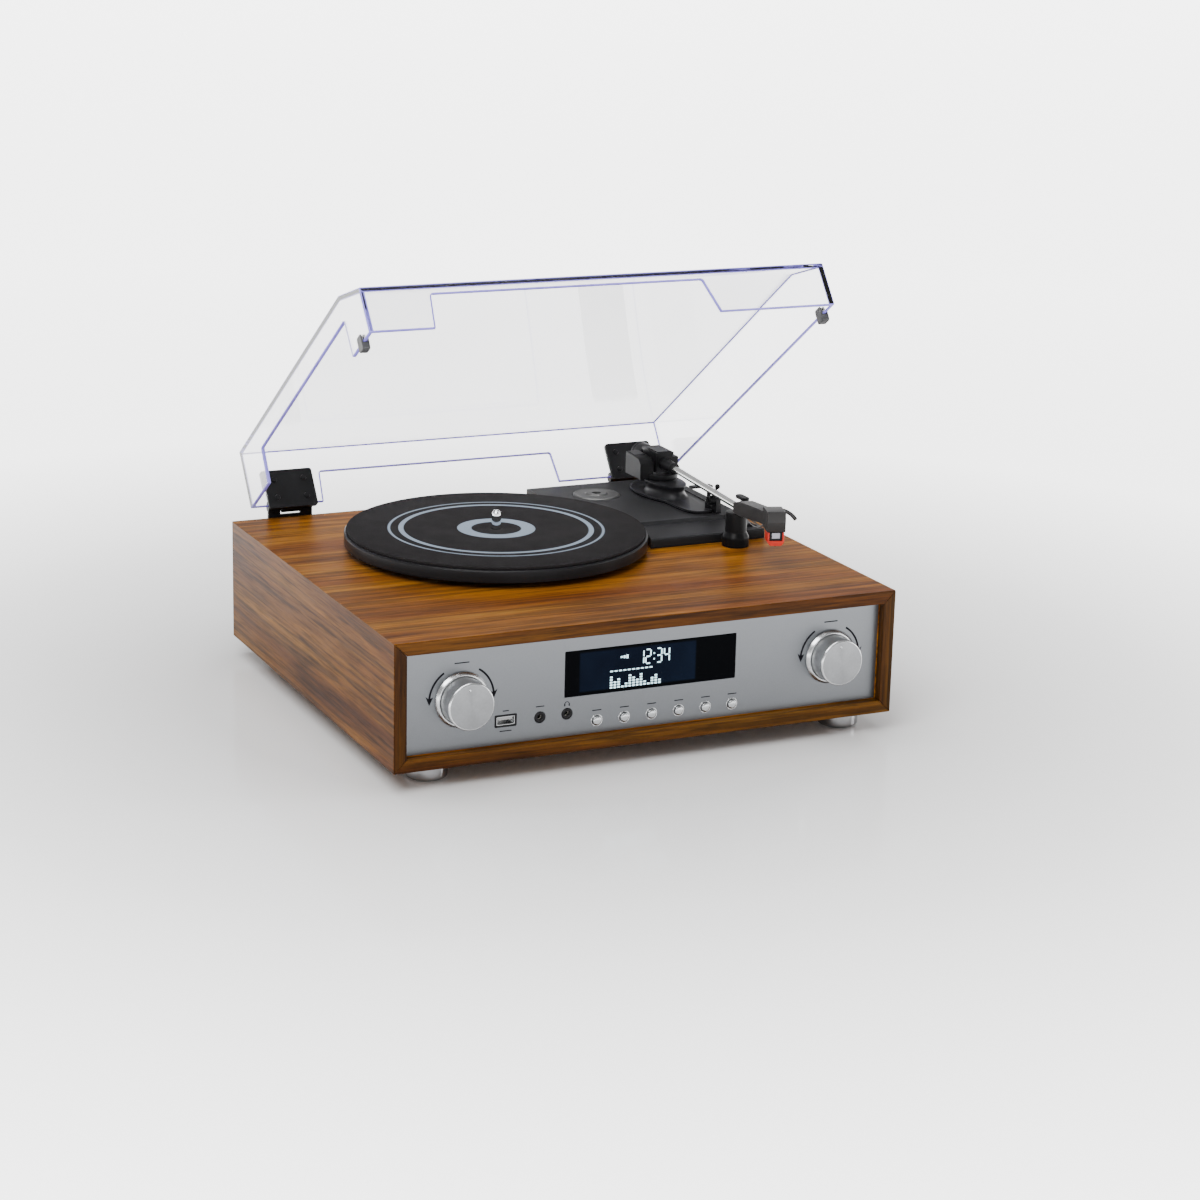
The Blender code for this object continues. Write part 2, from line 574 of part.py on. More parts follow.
def build_cue_and_rest():
    rod = cylinder_mesh(1.6, TOP + 16, TOP + 30.3, "Z", CUE_TUBE, 12)
    platform = make("cue_platform", rod, "black_plastic")
    join(platform, box_mesh((334, 221.5, TOP + 29.4), (352.5, 227.5, TOP + 31.0), 0.4))

    hub_x, hub_y, hub_z = CUE_HUB
    axis = (hub_y, TOP + hub_z)
    hub = [(1.5, 349.6), (3.8, 349.6), (3.8, 344.6), (1.5, 344.6)]
    lever = make("cue_lever", turned_mesh(hub, "X", axis, 20), "black_plastic", deck(hub_x, hub_y, hub_z))
    ball_x, ball_y, ball_z = CUE_BALL
    lean = math.atan2(ball_z - hub_z, ball_y - hub_y)
    root = (hub_x, hub_y + 2.6 * math.cos(lean), TOP + hub_z + 2.6 * math.sin(lean))
    join(lever, tube_mesh([root, (ball_x, ball_y, TOP + ball_z)], 1.0))
    ball = bmesh.new()
    bmesh.ops.create_uvsphere(ball, u_segments=12, v_segments=8, radius=2.1 * MM)
    bmesh.ops.translate(ball, verts=ball.verts, vec=deck(*CUE_BALL))
    ball_mesh = bpy.data.meshes.new("ball")
    ball.to_mesh(ball_mesh)
    ball.free()
    join(lever, ball_mesh)

    profile = [(0, 26.9), (7.8, 26.9), (8.4, 26.3), (8.4, 11.5), (9.9, 8.5), (10.4, 7.4), (10.4, GAP), (0, GAP)]
    rest = make("arm_rest", turned_mesh(on_deck(profile), "Z", ARM_REST, 28), "black_plastic")
    pin_x, pin_y = CLIP_PIVOT
    join(rest, box_mesh((341.8, pin_y - 3, TOP + 22), (348.4, pin_y + 3, TOP + 34.6)))
    cut(rest, cylinder_mesh(1.5, TOP + 28, TOP + 40, "Z", CLIP_PIVOT, 12))
    bar = arc(CLIP_PIVOT, 3.0, 180, 360, 8) + arc((pin_x, pin_y + 9.5), 3.0, 0, 180, 8)
    latch = make("arm_clip", prism_mesh([bar], "Z", TOP + 35.0, TOP + 37.6), "black_plastic", deck(pin_x, pin_y, 36))
    join(latch, cylinder_mesh(1.2, TOP + 29, TOP + 36, "Z", CLIP_PIVOT, 10))


def lid_outline(inset, rim):
    """Side view of the lid, drawn in by a wall's thickness."""
    return [(LID_FRONT + inset, rim), (LID_FRONT + 1.5 + inset * 0.95, LID_TOP - 14 - inset * 0.75),
            (LID_FRONT + 43.4 + inset * 0.2, LID_TOP - inset), (LID_BACK - inset, LID_TOP - inset),
            (LID_BACK - inset, rim)]


def swing_lid_open(mesh):
    place = at(0, *HINGE)
    turn = Matrix.Rotation(-LID_SWING, 4, "X")
    mesh.transform(Matrix.Translation(place) @ turn @ Matrix.Translation(-place))
    return mesh


def build_lid():
    axis = at(CABINET_WIDTH / 2, *HINGE)
    outer = prism_mesh([lid_outline(0, LID_RIM)], "X", LID_LEFT, LID_RIGHT)
    lid = make("lid", swing_lid_open(outer), "acrylic", axis)
    inner = prism_mesh([lid_outline(LID_WALL, LID_RIM - 5)], "X", LID_LEFT + LID_WALL, LID_RIGHT - LID_WALL)
    cut(lid, swing_lid_open(inner))
    below = LID_RIM - 5
    front = [(63, below), (66, LID_RIM + 26.5), (276, LID_RIM + 26.5), (286, below)]
    cut(lid, swing_lid_open(prism_mesh([front], "Y", LID_FRONT - 5, LID_FRONT + 12)))
    side = [(70, below), (72, LID_RIM + 28.5), (298, LID_RIM + 28.5), (300, below)]
    cut(lid, swing_lid_open(prism_mesh([side], "X", LID_LEFT - 5, LID_LEFT + 10)))
    back = [(74, below), (76, LID_RIM + 25.5), (275, LID_RIM + 25.5), (278, below)]
    cut(lid, swing_lid_open(prism_mesh([back], "Y", LID_BACK - 10, LID_BACK + 5)))

    moving = [lid]
    for name, x in (("left", LID_LEFT + LID_WALL / 2), ("right", LID_RIGHT - LID_WALL / 2)):
        clip = swing_lid_open(box_mesh((x - 2.9, 43, TOP + GAP), (x + 2.9, 52, TOP + 12.8), 0.5))
        bumper = make("lid_bumper_" + name, clip, "black_rubber")
        slot = box_mesh((x - 1.8, 35, LID_RIM - GAP), (x + 1.8, 60, TOP + 30))
        cut(bumper, swing_lid_open(slot))
        moving.append(bumper)
    for name, x in HINGE_PLACES.items():
        moving.append(build_hinge(name, x))
    carry("lid_axis", axis, moving)


def build_hinge(name, x):
    """One lid hinge: a fixed base on the cabinet's back with its pin, and a leaf on the lid."""
    back, height = HINGE
    base = make("hinge_base_" + name,
                box_mesh((x - 18, CABINET_DEPTH + GAP, 62), (x + 18, CABINET_DEPTH + 3, 94.6)), "black_plastic")
    for side in (-1, 1):
        inner, outer = sorted((x + side * 8.3, x + side * 18))
        join(base, box_mesh((inner, CABINET_DEPTH + GAP, 90), (outer, CABINET_DEPTH + 3, height)))
        join(base, cylinder_mesh(4.0, inner, outer, "X", HINGE, 20))
    join(base, cylinder_mesh(1.5, x - 12, x + 12, "X", HINGE, 12))

    plate = box_mesh((x - 20, 345.6, 95.4), (x + 20, 348.6, 127), 0.6)
    leaf = make("hinge_leaf_" + name, swing_lid_open(plate), "black_plastic", at(x, *HINGE))
    join(leaf, swing_lid_open(box_mesh((x - 8, 346.5, 95.4), (x + 8, back, 98.4))))
    join(leaf, swing_lid_open(cylinder_mesh(4.0, x - 8, x + 8, "X", HINGE, 20)))
    cut(leaf, swing_lid_open(cylinder_mesh(1.8, x - 15, x + 15, "X", HINGE, 12)))
    return leaf


def main():
    global parts, cutters
    for old in list(bpy.data.objects):
        bpy.data.objects.remove(old)
    parts = bpy.data.collections.new("record_player")
    cutters = bpy.data.collections.new("cutters")
    bpy.context.scene.collection.children.link(parts)
    bpy.context.scene.collection.children.link(cutters)
    build_cabinet()
    build_front_panel()
    build_drive()
    build_deck()
    build_arm_base()
    build_arm()
    build_cue_and_rest()
    build_lid()


main()
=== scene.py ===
"""Studio scene of a turntable record player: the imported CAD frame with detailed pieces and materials.

Sizes are in millimetres in the cabinet's own frame: X to the right from its left side, Y back from its
front face, Z up from its wooden underside. at() turns them into the frame's metres.
"""
import math

import bmesh
import bpy
from mathutils import Matrix, Vector


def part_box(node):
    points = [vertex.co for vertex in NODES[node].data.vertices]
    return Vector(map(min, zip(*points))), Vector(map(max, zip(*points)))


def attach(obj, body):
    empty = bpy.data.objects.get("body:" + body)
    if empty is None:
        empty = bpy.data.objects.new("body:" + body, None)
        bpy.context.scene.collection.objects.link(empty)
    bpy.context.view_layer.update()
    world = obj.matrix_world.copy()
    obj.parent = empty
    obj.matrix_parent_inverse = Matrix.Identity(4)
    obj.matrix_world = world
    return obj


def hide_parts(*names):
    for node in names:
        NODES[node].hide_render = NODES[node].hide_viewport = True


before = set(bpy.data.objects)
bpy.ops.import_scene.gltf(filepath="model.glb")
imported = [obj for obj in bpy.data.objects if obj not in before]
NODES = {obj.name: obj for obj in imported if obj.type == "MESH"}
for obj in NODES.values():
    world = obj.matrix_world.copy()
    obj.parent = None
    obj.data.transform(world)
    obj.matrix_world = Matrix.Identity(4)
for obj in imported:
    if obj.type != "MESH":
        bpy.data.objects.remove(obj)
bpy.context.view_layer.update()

MM = 0.001
SHELL_LOW, SHELL_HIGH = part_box("cabinet_shell")
WIDTH = (SHELL_HIGH[0] - SHELL_LOW[0]) / MM
HEIGHT = (SHELL_HIGH[2] - SHELL_LOW[2]) / MM
DEPTH = 354.0
WALL = 9.0
FRAME_BAR = 9.3
TOP = HEIGHT
SPINDLE = (161.8, 208.1)
PULLEY = (93.8, 276.1)
PIVOT = (339.0, 289.0)
ADAPTER = (288, 300)
CUE_TUBE = (350.5, 224.5)
ARM_REST = (338.5, 154.5)
PIVOT_HEIGHT = 36.3
HINGE = (356.8, 101.0)
LID_SWING = math.radians(35.3)
ROUND = 96
HINGE_PLACES = {"left": 48.0, "right": 344.0}
FOOT_PLACES = {"front_left": (36, 31), "front_right": (364, 31),
               "rear_left": (36, 322), "rear_right": (364, 322)}
FLOOR_GLOW = 4.0
SKY_GLOW = 3.2


# ---------------------------------------------------------------- places

def at(x, y, z):
    """World position in metres of a point in the cabinet's frame."""
    return Vector((SHELL_LOW[0] + x * MM, SHELL_HIGH[1] + (y - DEPTH) * MM, SHELL_LOW[2] + z * MM))


def deck(x, y, z):
    return at(x, y, TOP + z)


def about(place, angle, axis):
    """A turn about an axis through a place."""
    return Matrix.Translation(place) @ Matrix.Rotation(angle, 4, axis) @ Matrix.Translation(-place)


def open_lid(mesh):
    """Swing a mesh made for the shut lid to where the lid stands at rest."""
    mesh.transform(about(at(0, *HINGE), -LID_SWING, "X"))
    return mesh


# ---------------------------------------------------------------- shader nodes

def new_material(name):
    material = bpy.data.materials.new(name)
    material.use_nodes = True
    tree = material.node_tree
    return material, tree, tree.nodes["Principled BSDF"]


def put(node, values):
    """Set a node's inputs by name."""
    for socket, value in values.items():
        node.inputs[socket].default_value = value


def coordinates(tree, scale=(1, 1, 1), offset=(0, 0, 0), turn=(0, 0, 0)):
    """The piece's own coordinates in metres, scaled."""
    source = tree.nodes.new("ShaderNodeTexCoord")
    mapping = tree.nodes.new("ShaderNodeMapping")
    put(mapping, {"Scale": scale, "Location": offset, "Rotation": turn})
    tree.links.new(source.outputs["Object"], mapping.inputs["Vector"])
    return mapping.outputs["Vector"]


def noise(tree, vector, scale, detail=4.0, roughness=0.5, distortion=0.0):
    node = tree.nodes.new("ShaderNodeTexNoise")
    put(node, {"Scale": scale, "Detail": detail, "Roughness": roughness, "Distortion": distortion})
    tree.links.new(vector, node.inputs["Vector"])
    return node.outputs["Fac"]


def ramp(tree, value, stops):
    """A colour ramp; each stop is (position, colour), a colour being grey or RGB."""
    node = tree.nodes.new("ShaderNodeValToRGB")
    elements = node.color_ramp.elements
    while len(elements) < len(stops):
        elements.new(0.5)
    for element, (position, colour) in zip(elements, stops):
        element.position = position
        rgb = (colour, colour, colour) if isinstance(colour, (int, float)) else colour
        element.color = (*rgb, 1.0)
    tree.links.new(value, node.inputs["Fac"])
    return node.outputs["Color"]


def mix(tree, a, b, factor, mode="MIX"):
    node = tree.nodes.new("ShaderNodeMix")
    node.data_type = "RGBA"
    node.blend_type = mode
    for value, socket in ((factor, node.inputs["Factor"]), (a, node.inputs[6]), (b, node.inputs[7])):
        if isinstance(value, bpy.types.NodeSocket):
            tree.links.new(value, socket)
        elif isinstance(value, tuple):
            socket.default_value = (*value, 1.0)
        else:
            socket.default_value = value
    return node.outputs[2]


def maths(tree, operation, a, b=0.0):
    node = tree.nodes.new("ShaderNodeMath")
    node.operation = operation
    for value, socket in ((a, node.inputs[0]), (b, node.inputs[1])):
        if isinstance(value, bpy.types.NodeSocket):
            tree.links.new(value, socket)
        else:
            socket.default_value = value
    return node.outputs[0]


def spread(tree, value, low, high):
    """Rescale a 0 to 1 value to low to high."""
    node = tree.nodes.new("ShaderNodeMapRange")
    put(node, {"To Min": low, "To Max": high})
    tree.links.new(value, node.inputs["Value"])
    return node.outputs["Result"]


def bump(tree, shader, height, strength, distance=0.0002):
    node = tree.nodes.new("ShaderNodeBump")
    put(node, {"Strength": strength, "Distance": distance})
    tree.links.new(height, node.inputs["Height"])
    tree.links.new(node.outputs["Normal"], shader.inputs["Normal"])


def paint(tree, shader, colour, roughness):
    tree.links.new(colour, shader.inputs["Base Color"])
    tree.links.new(roughness, shader.inputs["Roughness"])


def walnut(name, grain, tone=1.0, seed=0.0):
    """Veneer whose grain runs along one axis: broad tan and brown bands, fine streaks and open pores, all
    scaled by a tone that paints light and shade onto each copy of it.
    """
    material, tree, shader = new_material(name)
    along = {"X": (1.0, 9.0, 9.0), "Y": (9.0, 1.0, 9.0), "Z": (9.0, 9.0, 1.0)}[grain]
    fine = {"X": (0.05, 1.0, 1.0), "Y": (1.0, 0.05, 1.0), "Z": (1.0, 1.0, 0.05)}[grain]
    thin = {"X": (0.03, 1.0, 1.0), "Y": (1.0, 0.03, 1.0), "Z": (1.0, 1.0, 0.03)}[grain]
    offset = (seed, seed * 1.7, seed * 0.6)
    broad = noise(tree, coordinates(tree, along, offset), 3.2, 3.0, 0.55, 0.6)
    bands = noise(tree, coordinates(tree, fine, offset), 60.0, 5.0, 0.62, 0.25)
    streaks = noise(tree, coordinates(tree, fine, offset), 420.0, 3.0, 0.6)
    pores = noise(tree, coordinates(tree, fine, offset), 1500.0, 2.0, 0.5)

    # tone scales the whole colour: painted light and shade that makes copies of one veneer lighter or
    # darker by where they face
    def shade(r, g, b):
        return (r * tone, g * tone, b * tone)

    base = ramp(tree, bands, [(0.26, shade(0.085, 0.020, 0.0022)), (0.44, shade(0.22, 0.064, 0.007)),
                              (0.56, shade(0.33, 0.120, 0.010)), (0.74, shade(0.55, 0.250, 0.032))])
    drift = ramp(tree, broad, [(0.34, shade(0.17, 0.044, 0.003)), (0.66, shade(0.45, 0.190, 0.022))])
    colour = mix(tree, base, drift, 0.30)
    lines = ramp(tree, streaks, [(0.36, 0.42), (0.54, 1.0)])
    colour = mix(tree, colour, lines, 0.75, "MULTIPLY")
    veins = noise(tree, coordinates(tree, thin, offset), 210.0, 4.0, 0.6, 0.3)
    dark_veins = ramp(tree, veins, [(0.42, 0.22), (0.51, 1.0)])
    colour = mix(tree, colour, dark_veins, 0.60, "MULTIPLY")
    gold_veins = ramp(tree, veins, [(0.56, 1.0), (0.66, 1.45)])
    colour = mix(tree, colour, gold_veins, 0.80, "MULTIPLY")
    dots = ramp(tree, pores, [(0.36, 0.45), (0.46, 1.0)])
    colour = mix(tree, colour, dots, 0.35, "MULTIPLY")
    paint(tree, shader, colour, spread(tree, streaks, 0.46, 0.30))
    put(shader, {"Specular IOR Level": 0.07, "Coat Weight": 0.03, "Coat Roughness": 0.30})
    bump(tree, shader, pores, 0.25, 0.0001)
    return material


def metal(name, colour, roughness, spread_by=0.05, scale=600.0, stretch=(1, 1, 1), grain=0.06):
    """Metal with a fine, uneven surface."""
    material, tree, shader = new_material(name)
    texture = noise(tree, coordinates(tree, stretch), scale, 3.0)
    shader.inputs["Metallic"].default_value = 1.0
    tint = tuple(0.93 * c for c in colour)
    paint(tree, shader, ramp(tree, texture, [(0.3, tint), (0.7, colour)]),
          spread(tree, texture, roughness - spread_by, roughness + spread_by))
    bump(tree, shader, texture, grain, 0.00005)
    return material


def plastic(name, colour, roughness, texture_scale=900.0, grain=0.15, coat=0.0, shine=0.14):
    """Moulded plastic with a fine sparked texture and slightly uneven gloss."""
    material, tree, shader = new_material(name)
    texture = noise(tree, coordinates(tree), texture_scale, 2.0)
    cloud = noise(tree, coordinates(tree), 22.0, 3.0)
    lighter = tuple(min(1.0, 1.25 * c + 0.001) for c in colour)
    paint(tree, shader, ramp(tree, cloud, [(0.35, colour), (0.7, lighter)]),
          spread(tree, cloud, roughness - 0.04, roughness + 0.06))
    put(shader, {"Coat Weight": coat, "Coat Roughness": 0.08, "Specular IOR Level": shine})
    bump(tree, shader, texture, grain, 0.00008)
    return material


def spun_metal(name, axis, colour, roughness):
    """Turned aluminium: fine concentric lines and a conic highlight."""
    material, tree, shader = new_material(name)
    put(shader, {"Metallic": 1.0, "Anisotropic": 0.85})
    tangent = tree.nodes.new("ShaderNodeTangent")
    tangent.direction_type = "RADIAL"
    tangent.axis = axis
    tree.links.new(tangent.outputs["Tangent"], shader.inputs["Tangent"])
    texture = noise(tree, coordinates(tree), 500.0, 3.0)
    darker = tuple(0.92 * c for c in colour)
    paint(tree, shader, ramp(tree, texture, [(0.3, darker), (0.7, colour)]),
          spread(tree, texture, roughness - 0.04, roughness + 0.04))
    return material


def clear_acrylic(name, tint, roughness=0.02):
    """Clear sheet that lets the lamps' light through to what it covers."""
    material, tree, shader = new_material(name)
    put(shader, {"Transmission Weight": 1.0, "IOR": 1.49, "Specular IOR Level": 0.18})
    haze = noise(tree, coordinates(tree), 14.0, 4.0)
    pale = tuple(min(1.0, 1.02 * c) for c in tint)
    paint(tree, shader, ramp(tree, haze, [(0.4, tint), (0.6, pale)]),
          spread(tree, haze, max(0.0, roughness - 0.015), roughness + 0.01))
    path = tree.nodes.new("ShaderNodeLightPath")
    clear = tree.nodes.new("ShaderNodeBsdfTransparent")
    clear.inputs["Color"].default_value = (*[min(1.0, 0.03 * c + 0.97) for c in tint], 1.0)
    either = tree.nodes.new("ShaderNodeMixShader")
    tree.links.new(path.outputs["Is Shadow Ray"], either.inputs["Fac"])
    tree.links.new(shader.outputs["BSDF"], either.inputs[1])
    tree.links.new(clear.outputs["BSDF"], either.inputs[2])
    tree.links.new(either.outputs["Shader"], tree.nodes["Material Output"].inputs["Surface"])
    return material


def painted_violet_glow(name):
    """The sawn and polished rims of the clear sheet, painted violet with a faint emission: a painted glow
    standing in for the light that gathers in the rims.
    """
    material, tree, shader = new_material(name)
    cloud = noise(tree, coordinates(tree), 40.0, 3.0)
    paint(tree, shader, ramp(tree, cloud, [(0.3, (0.15, 0.13, 0.46)), (0.7, (0.22, 0.19, 0.60))]),
          spread(tree, cloud, 0.12, 0.22))
    # Faint violet emission: painted glow of the light gathered in the rims
    put(shader, {"Emission Color": (0.24, 0.20, 0.70, 1.0), "Emission Strength": 0.16})
    return material


def box_mask(tree, low, high, soft=0.0006):
    """1 inside a rectangle in X and Z, 0 outside, in the piece's own metres."""
    parts = tree.nodes.new("ShaderNodeSeparateXYZ")
    source = tree.nodes.new("ShaderNodeTexCoord")
    tree.links.new(source.outputs["Object"], parts.inputs["Vector"])
    mask = None
    for axis, lower, upper in (("X", low[0], high[0]), ("Z", low[2], high[2])):
        for edge, sign in ((lower, 1.0), (upper, -1.0)):
            node = tree.nodes.new("ShaderNodeMapRange")
            put(node, {"From Min": edge - soft * sign, "From Max": edge + soft * sign})
            tree.links.new(parts.outputs[axis], node.inputs["Value"])
            inside = node.outputs["Result"]
            mask = inside if mask is None else maths(tree, "MULTIPLY", mask, inside)
    return mask


def display_glass(name):
    """Black window with a faintly lit blue panel behind it."""
    material, tree, shader = new_material(name)
    mask = box_mask(tree, at(141, 0, 41), at(231.5, 0, 69.5))
    cloud = noise(tree, coordinates(tree), 30.0, 2.0)
    panel = ramp(tree, cloud, [(0.3, (0.003, 0.005, 0.011)), (0.7, (0.005, 0.009, 0.020))])
    paint(tree, shader, mix(tree, (0.0015, 0.0018, 0.0024), panel, mask), spread(tree, cloud, 0.10, 0.16))
    shader.inputs["Specular IOR Level"].default_value = 0.015
    return material


def felt(name, centre):
    """Brown-black slip mat with pale blue-grey rings printed on it."""
    material, tree, shader = new_material(name)
    source = tree.nodes.new("ShaderNodeTexCoord")
    offset = tree.nodes.new("ShaderNodeVectorMath")
    offset.operation = "SUBTRACT"
    offset.inputs[1].default_value = centre
    tree.links.new(source.outputs["Object"], offset.inputs[0])
    flat = tree.nodes.new("ShaderNodeVectorMath")
    flat.operation = "MULTIPLY"
    flat.inputs[1].default_value = (1.0, 1.0, 0.0)
    tree.links.new(offset.outputs["Vector"], flat.inputs[0])
    length = tree.nodes.new("ShaderNodeVectorMath")
    length.operation = "LENGTH"
    tree.links.new(flat.outputs["Vector"], length.inputs[0])
    radius = maths(tree, "MULTIPLY", length.outputs["Value"], 8.0)
    rings = ramp(tree, radius, [(0.0, 0.0), (0.150, 0.0), (0.153, 1.0), (0.235, 1.0), (0.238, 0.0),
                                (0.560, 0.0), (0.563, 1.0), (0.590, 1.0), (0.593, 0.0),
                                (0.640, 0.0), (0.643, 1.0), (0.655, 1.0), (0.658, 0.0)])
    fibres = noise(tree, coordinates(tree), 1400.0, 3.0, 0.6)
    patches = noise(tree, coordinates(tree), 60.0, 4.0)
    dark = ramp(tree, fibres, [(0.3, (0.008, 0.0074, 0.0078)), (0.7, (0.019, 0.0175, 0.0183))])
    print_colour = ramp(tree, fibres, [(0.3, (0.16, 0.20, 0.25)), (0.7, (0.25, 0.30, 0.36))])
    paint(tree, shader, mix(tree, dark, print_colour, rings), spread(tree, patches, 0.62, 0.78))
    shader.inputs["Specular IOR Level"].default_value = 0.03
    bump(tree, shader, fibres, 0.5, 0.00015)
    return material


def glowing(name, colour, strength):
    material, tree, shader = new_material(name)
    texture = noise(tree, coordinates(tree), 3000.0, 1.0)
    dimmer = tuple(0.85 * c for c in colour)
    tree.links.new(ramp(tree, texture, [(0.3, dimmer), (0.7, colour)]), shader.inputs["Emission Color"])
    put(shader, {"Emission Strength": strength, "Base Color": (*colour, 1.0)})
    return material


M = {
    # These walnut copies differ in tone only: the top is painted lighter, and the sides and the front
    # frame's bars, uprights most of all, darker, painted light and shade for how the lamps fall
    "wood_top": walnut("walnut_top", "X", 0.70, 0.3),
    "wood_side": walnut("walnut_side", "Y", 0.44, 1.9),
    "frame_across": walnut("walnut_frame_across", "X", 0.31, 4.1),
    "frame_upright": walnut("walnut_frame_upright", "Z", 0.20, 6.4),
    "pale_edge": walnut("veneer_edge", "X", 0.9, 2.2),
    "fascia": metal("fascia_satin", (0.185, 0.193, 0.204), 0.38, 0.03, 1800.0, (1, 1, 1), 0.05),
    "adapter": metal("adapter_dull", (0.14, 0.14, 0.138), 0.42, 0.04, 700.0),
    "bright": metal("aluminium_bright", (0.60, 0.61, 0.62), 0.22, 0.04, 900.0),
    "spun": spun_metal("aluminium_spun", "Y", (0.27, 0.275, 0.283), 0.30),
    "turned": metal("aluminium_turned", (0.66, 0.67, 0.68), 0.36, 0.04, 700.0, (0.2, 6.0, 0.2)),
    "button": metal("button_silver", (0.50, 0.51, 0.52), 0.25, 0.04, 900.0),
    "foot": metal("foot_chrome", (0.40, 0.40, 0.41), 0.08, 0.02, 300.0, (1, 1, 1), 0.01),
    "chrome": metal("chrome", (0.86, 0.87, 0.88), 0.06, 0.02, 300.0, (1, 1, 1), 0.01),
    "tube": metal("tube_satin_chrome", (0.86, 0.86, 0.84), 0.20, 0.04, 700.0, (1, 0.1, 1), 0.02),
    "steel": metal("steel", (0.50, 0.50, 0.51), 0.34, 0.06, 500.0),
    "contact": metal("contact_metal", (0.75, 0.72, 0.66), 0.25, 0.05, 900.0),
    "black": plastic("plastic_black", (0.006, 0.006, 0.0065), 0.30, 1200.0, 0.12, 0.0, 0.09),
    "gloss": plastic("plastic_satin_black", (0.008, 0.008, 0.009), 0.32, 1200.0, 0.05),
    "deck": plastic("deck_satin_black", (0.012, 0.012, 0.013), 0.45, 1500.0, 0.12),
    "charcoal": plastic("plastic_charcoal", (0.022, 0.021, 0.021), 0.34, 1100.0, 0.15, 0.0, 0.2),
    "rubber": plastic("rubber_black", (0.020, 0.020, 0.020), 0.62, 700.0, 0.4),
    "bumper": plastic("bumper_grey", (0.045, 0.045, 0.047), 0.42, 900.0, 0.2),
    "print": plastic("print_black", (0.004, 0.004, 0.006), 0.45, 900.0, 0.05, 0.0, 0.03),
    "red": plastic("stylus_red", (0.46, 0.020, 0.010), 0.30, 900.0, 0.1, 0.2),
    "insert": plastic("cartridge_insert", (0.36, 0.37, 0.43), 0.35, 900.0, 0.1),
    "wire": plastic("lead_wire", (0.14, 0.14, 0.14), 0.4, 900.0, 0.1),
    "tongue": plastic("socket_tongue", (0.35, 0.35, 0.35), 0.4, 900.0, 0.1),
    "terminal_red": plastic("terminal_red", (0.45, 0.02, 0.015), 0.35, 900.0, 0.1),
    "board": plastic("board_green", (0.012, 0.09, 0.035), 0.45, 400.0, 0.2),
    "fibre": plastic("board_fibre", (0.030, 0.026, 0.023), 0.75, 500.0, 0.5),
    "mat": felt("slip_mat_felt", deck(*SPINDLE, 0)),
    "display": display_glass("display_glass"),
    "glow": glowing("display_digits", (0.62, 0.90, 1.0), 1.6),
    "acrylic": clear_acrylic("acrylic_clear", (0.965, 0.965, 0.975)),
    "acrylic_edge": painted_violet_glow("acrylic_edge"),
}


# The slot that each finish fills, where a piece doesn't name another.
SLOT_FINISHES = {
    "walnut_frame": ("pale_edge",),
    "fibreboard": ("fibre",),
    "steel": ("steel", "contact", "tongue"),
    "aluminium": ("fascia", "bright", "adapter", "button"),
    "display": ("print", "display", "glow"),
    "black_plastic": ("gloss", "deck", "black", "charcoal", "insert", "wire"),
    "mat_felt": ("mat",),
    "chrome": ("chrome", "tube", "foot"),
    "red_plastic": ("red",),
    "black_rubber": ("rubber", "bumper"),
}
SLOTS = {finish: slot for slot, finishes in SLOT_FINISHES.items() for finish in finishes}


# ---------------------------------------------------------------- mesh makers

def new_object(name, data):
    made = bpy.data.objects.new(name, data)
    bpy.context.scene.collection.objects.link(made)
    return made


def from_bmesh(work, name):
    bmesh.ops.recalc_face_normals(work, faces=work.faces)
    mesh = bpy.data.meshes.new(name)
    work.to_mesh(mesh)
    work.free()
    return mesh


def evaluated(temporary, name):
    bpy.context.view_layer.update()
    graph = bpy.context.evaluated_depsgraph_get()
    mesh = bpy.data.meshes.new_from_object(temporary.evaluated_get(graph))
    mesh.name = name
    mesh.materials.clear()
    bpy.data.objects.remove(temporary)
    work = bmesh.new()
    work.from_mesh(mesh)
    bmesh.ops.remove_doubles(work, verts=work.verts, dist=2e-6)
    bpy.data.meshes.remove(mesh)
    return from_bmesh(work, name)


def rounded(points, radius, closed, steps=4):
    """Soften the corners of a row of 2D points with short curves."""
    made = []
    count = len(points)
    for index, corner in enumerate(points):
        if not closed and index in (0, count - 1):
            made.append(corner)
            continue
        before = Vector(points[index - 1])
        after = Vector(points[(index + 1) % count])
        here = Vector(corner)
        reach_in = min(radius, (before - here).length * 0.45)
        reach_out = min(radius, (after - here).length * 0.45)
        start = here + (before - here).normalized() * reach_in
        end = here + (after - here).normalized() * reach_out
        for step in range(steps + 1):
            t = step / steps
            point = start * (1 - t) ** 2 + here * 2 * t * (1 - t) + end * t ** 2
            made.append(tuple(point))
    return made


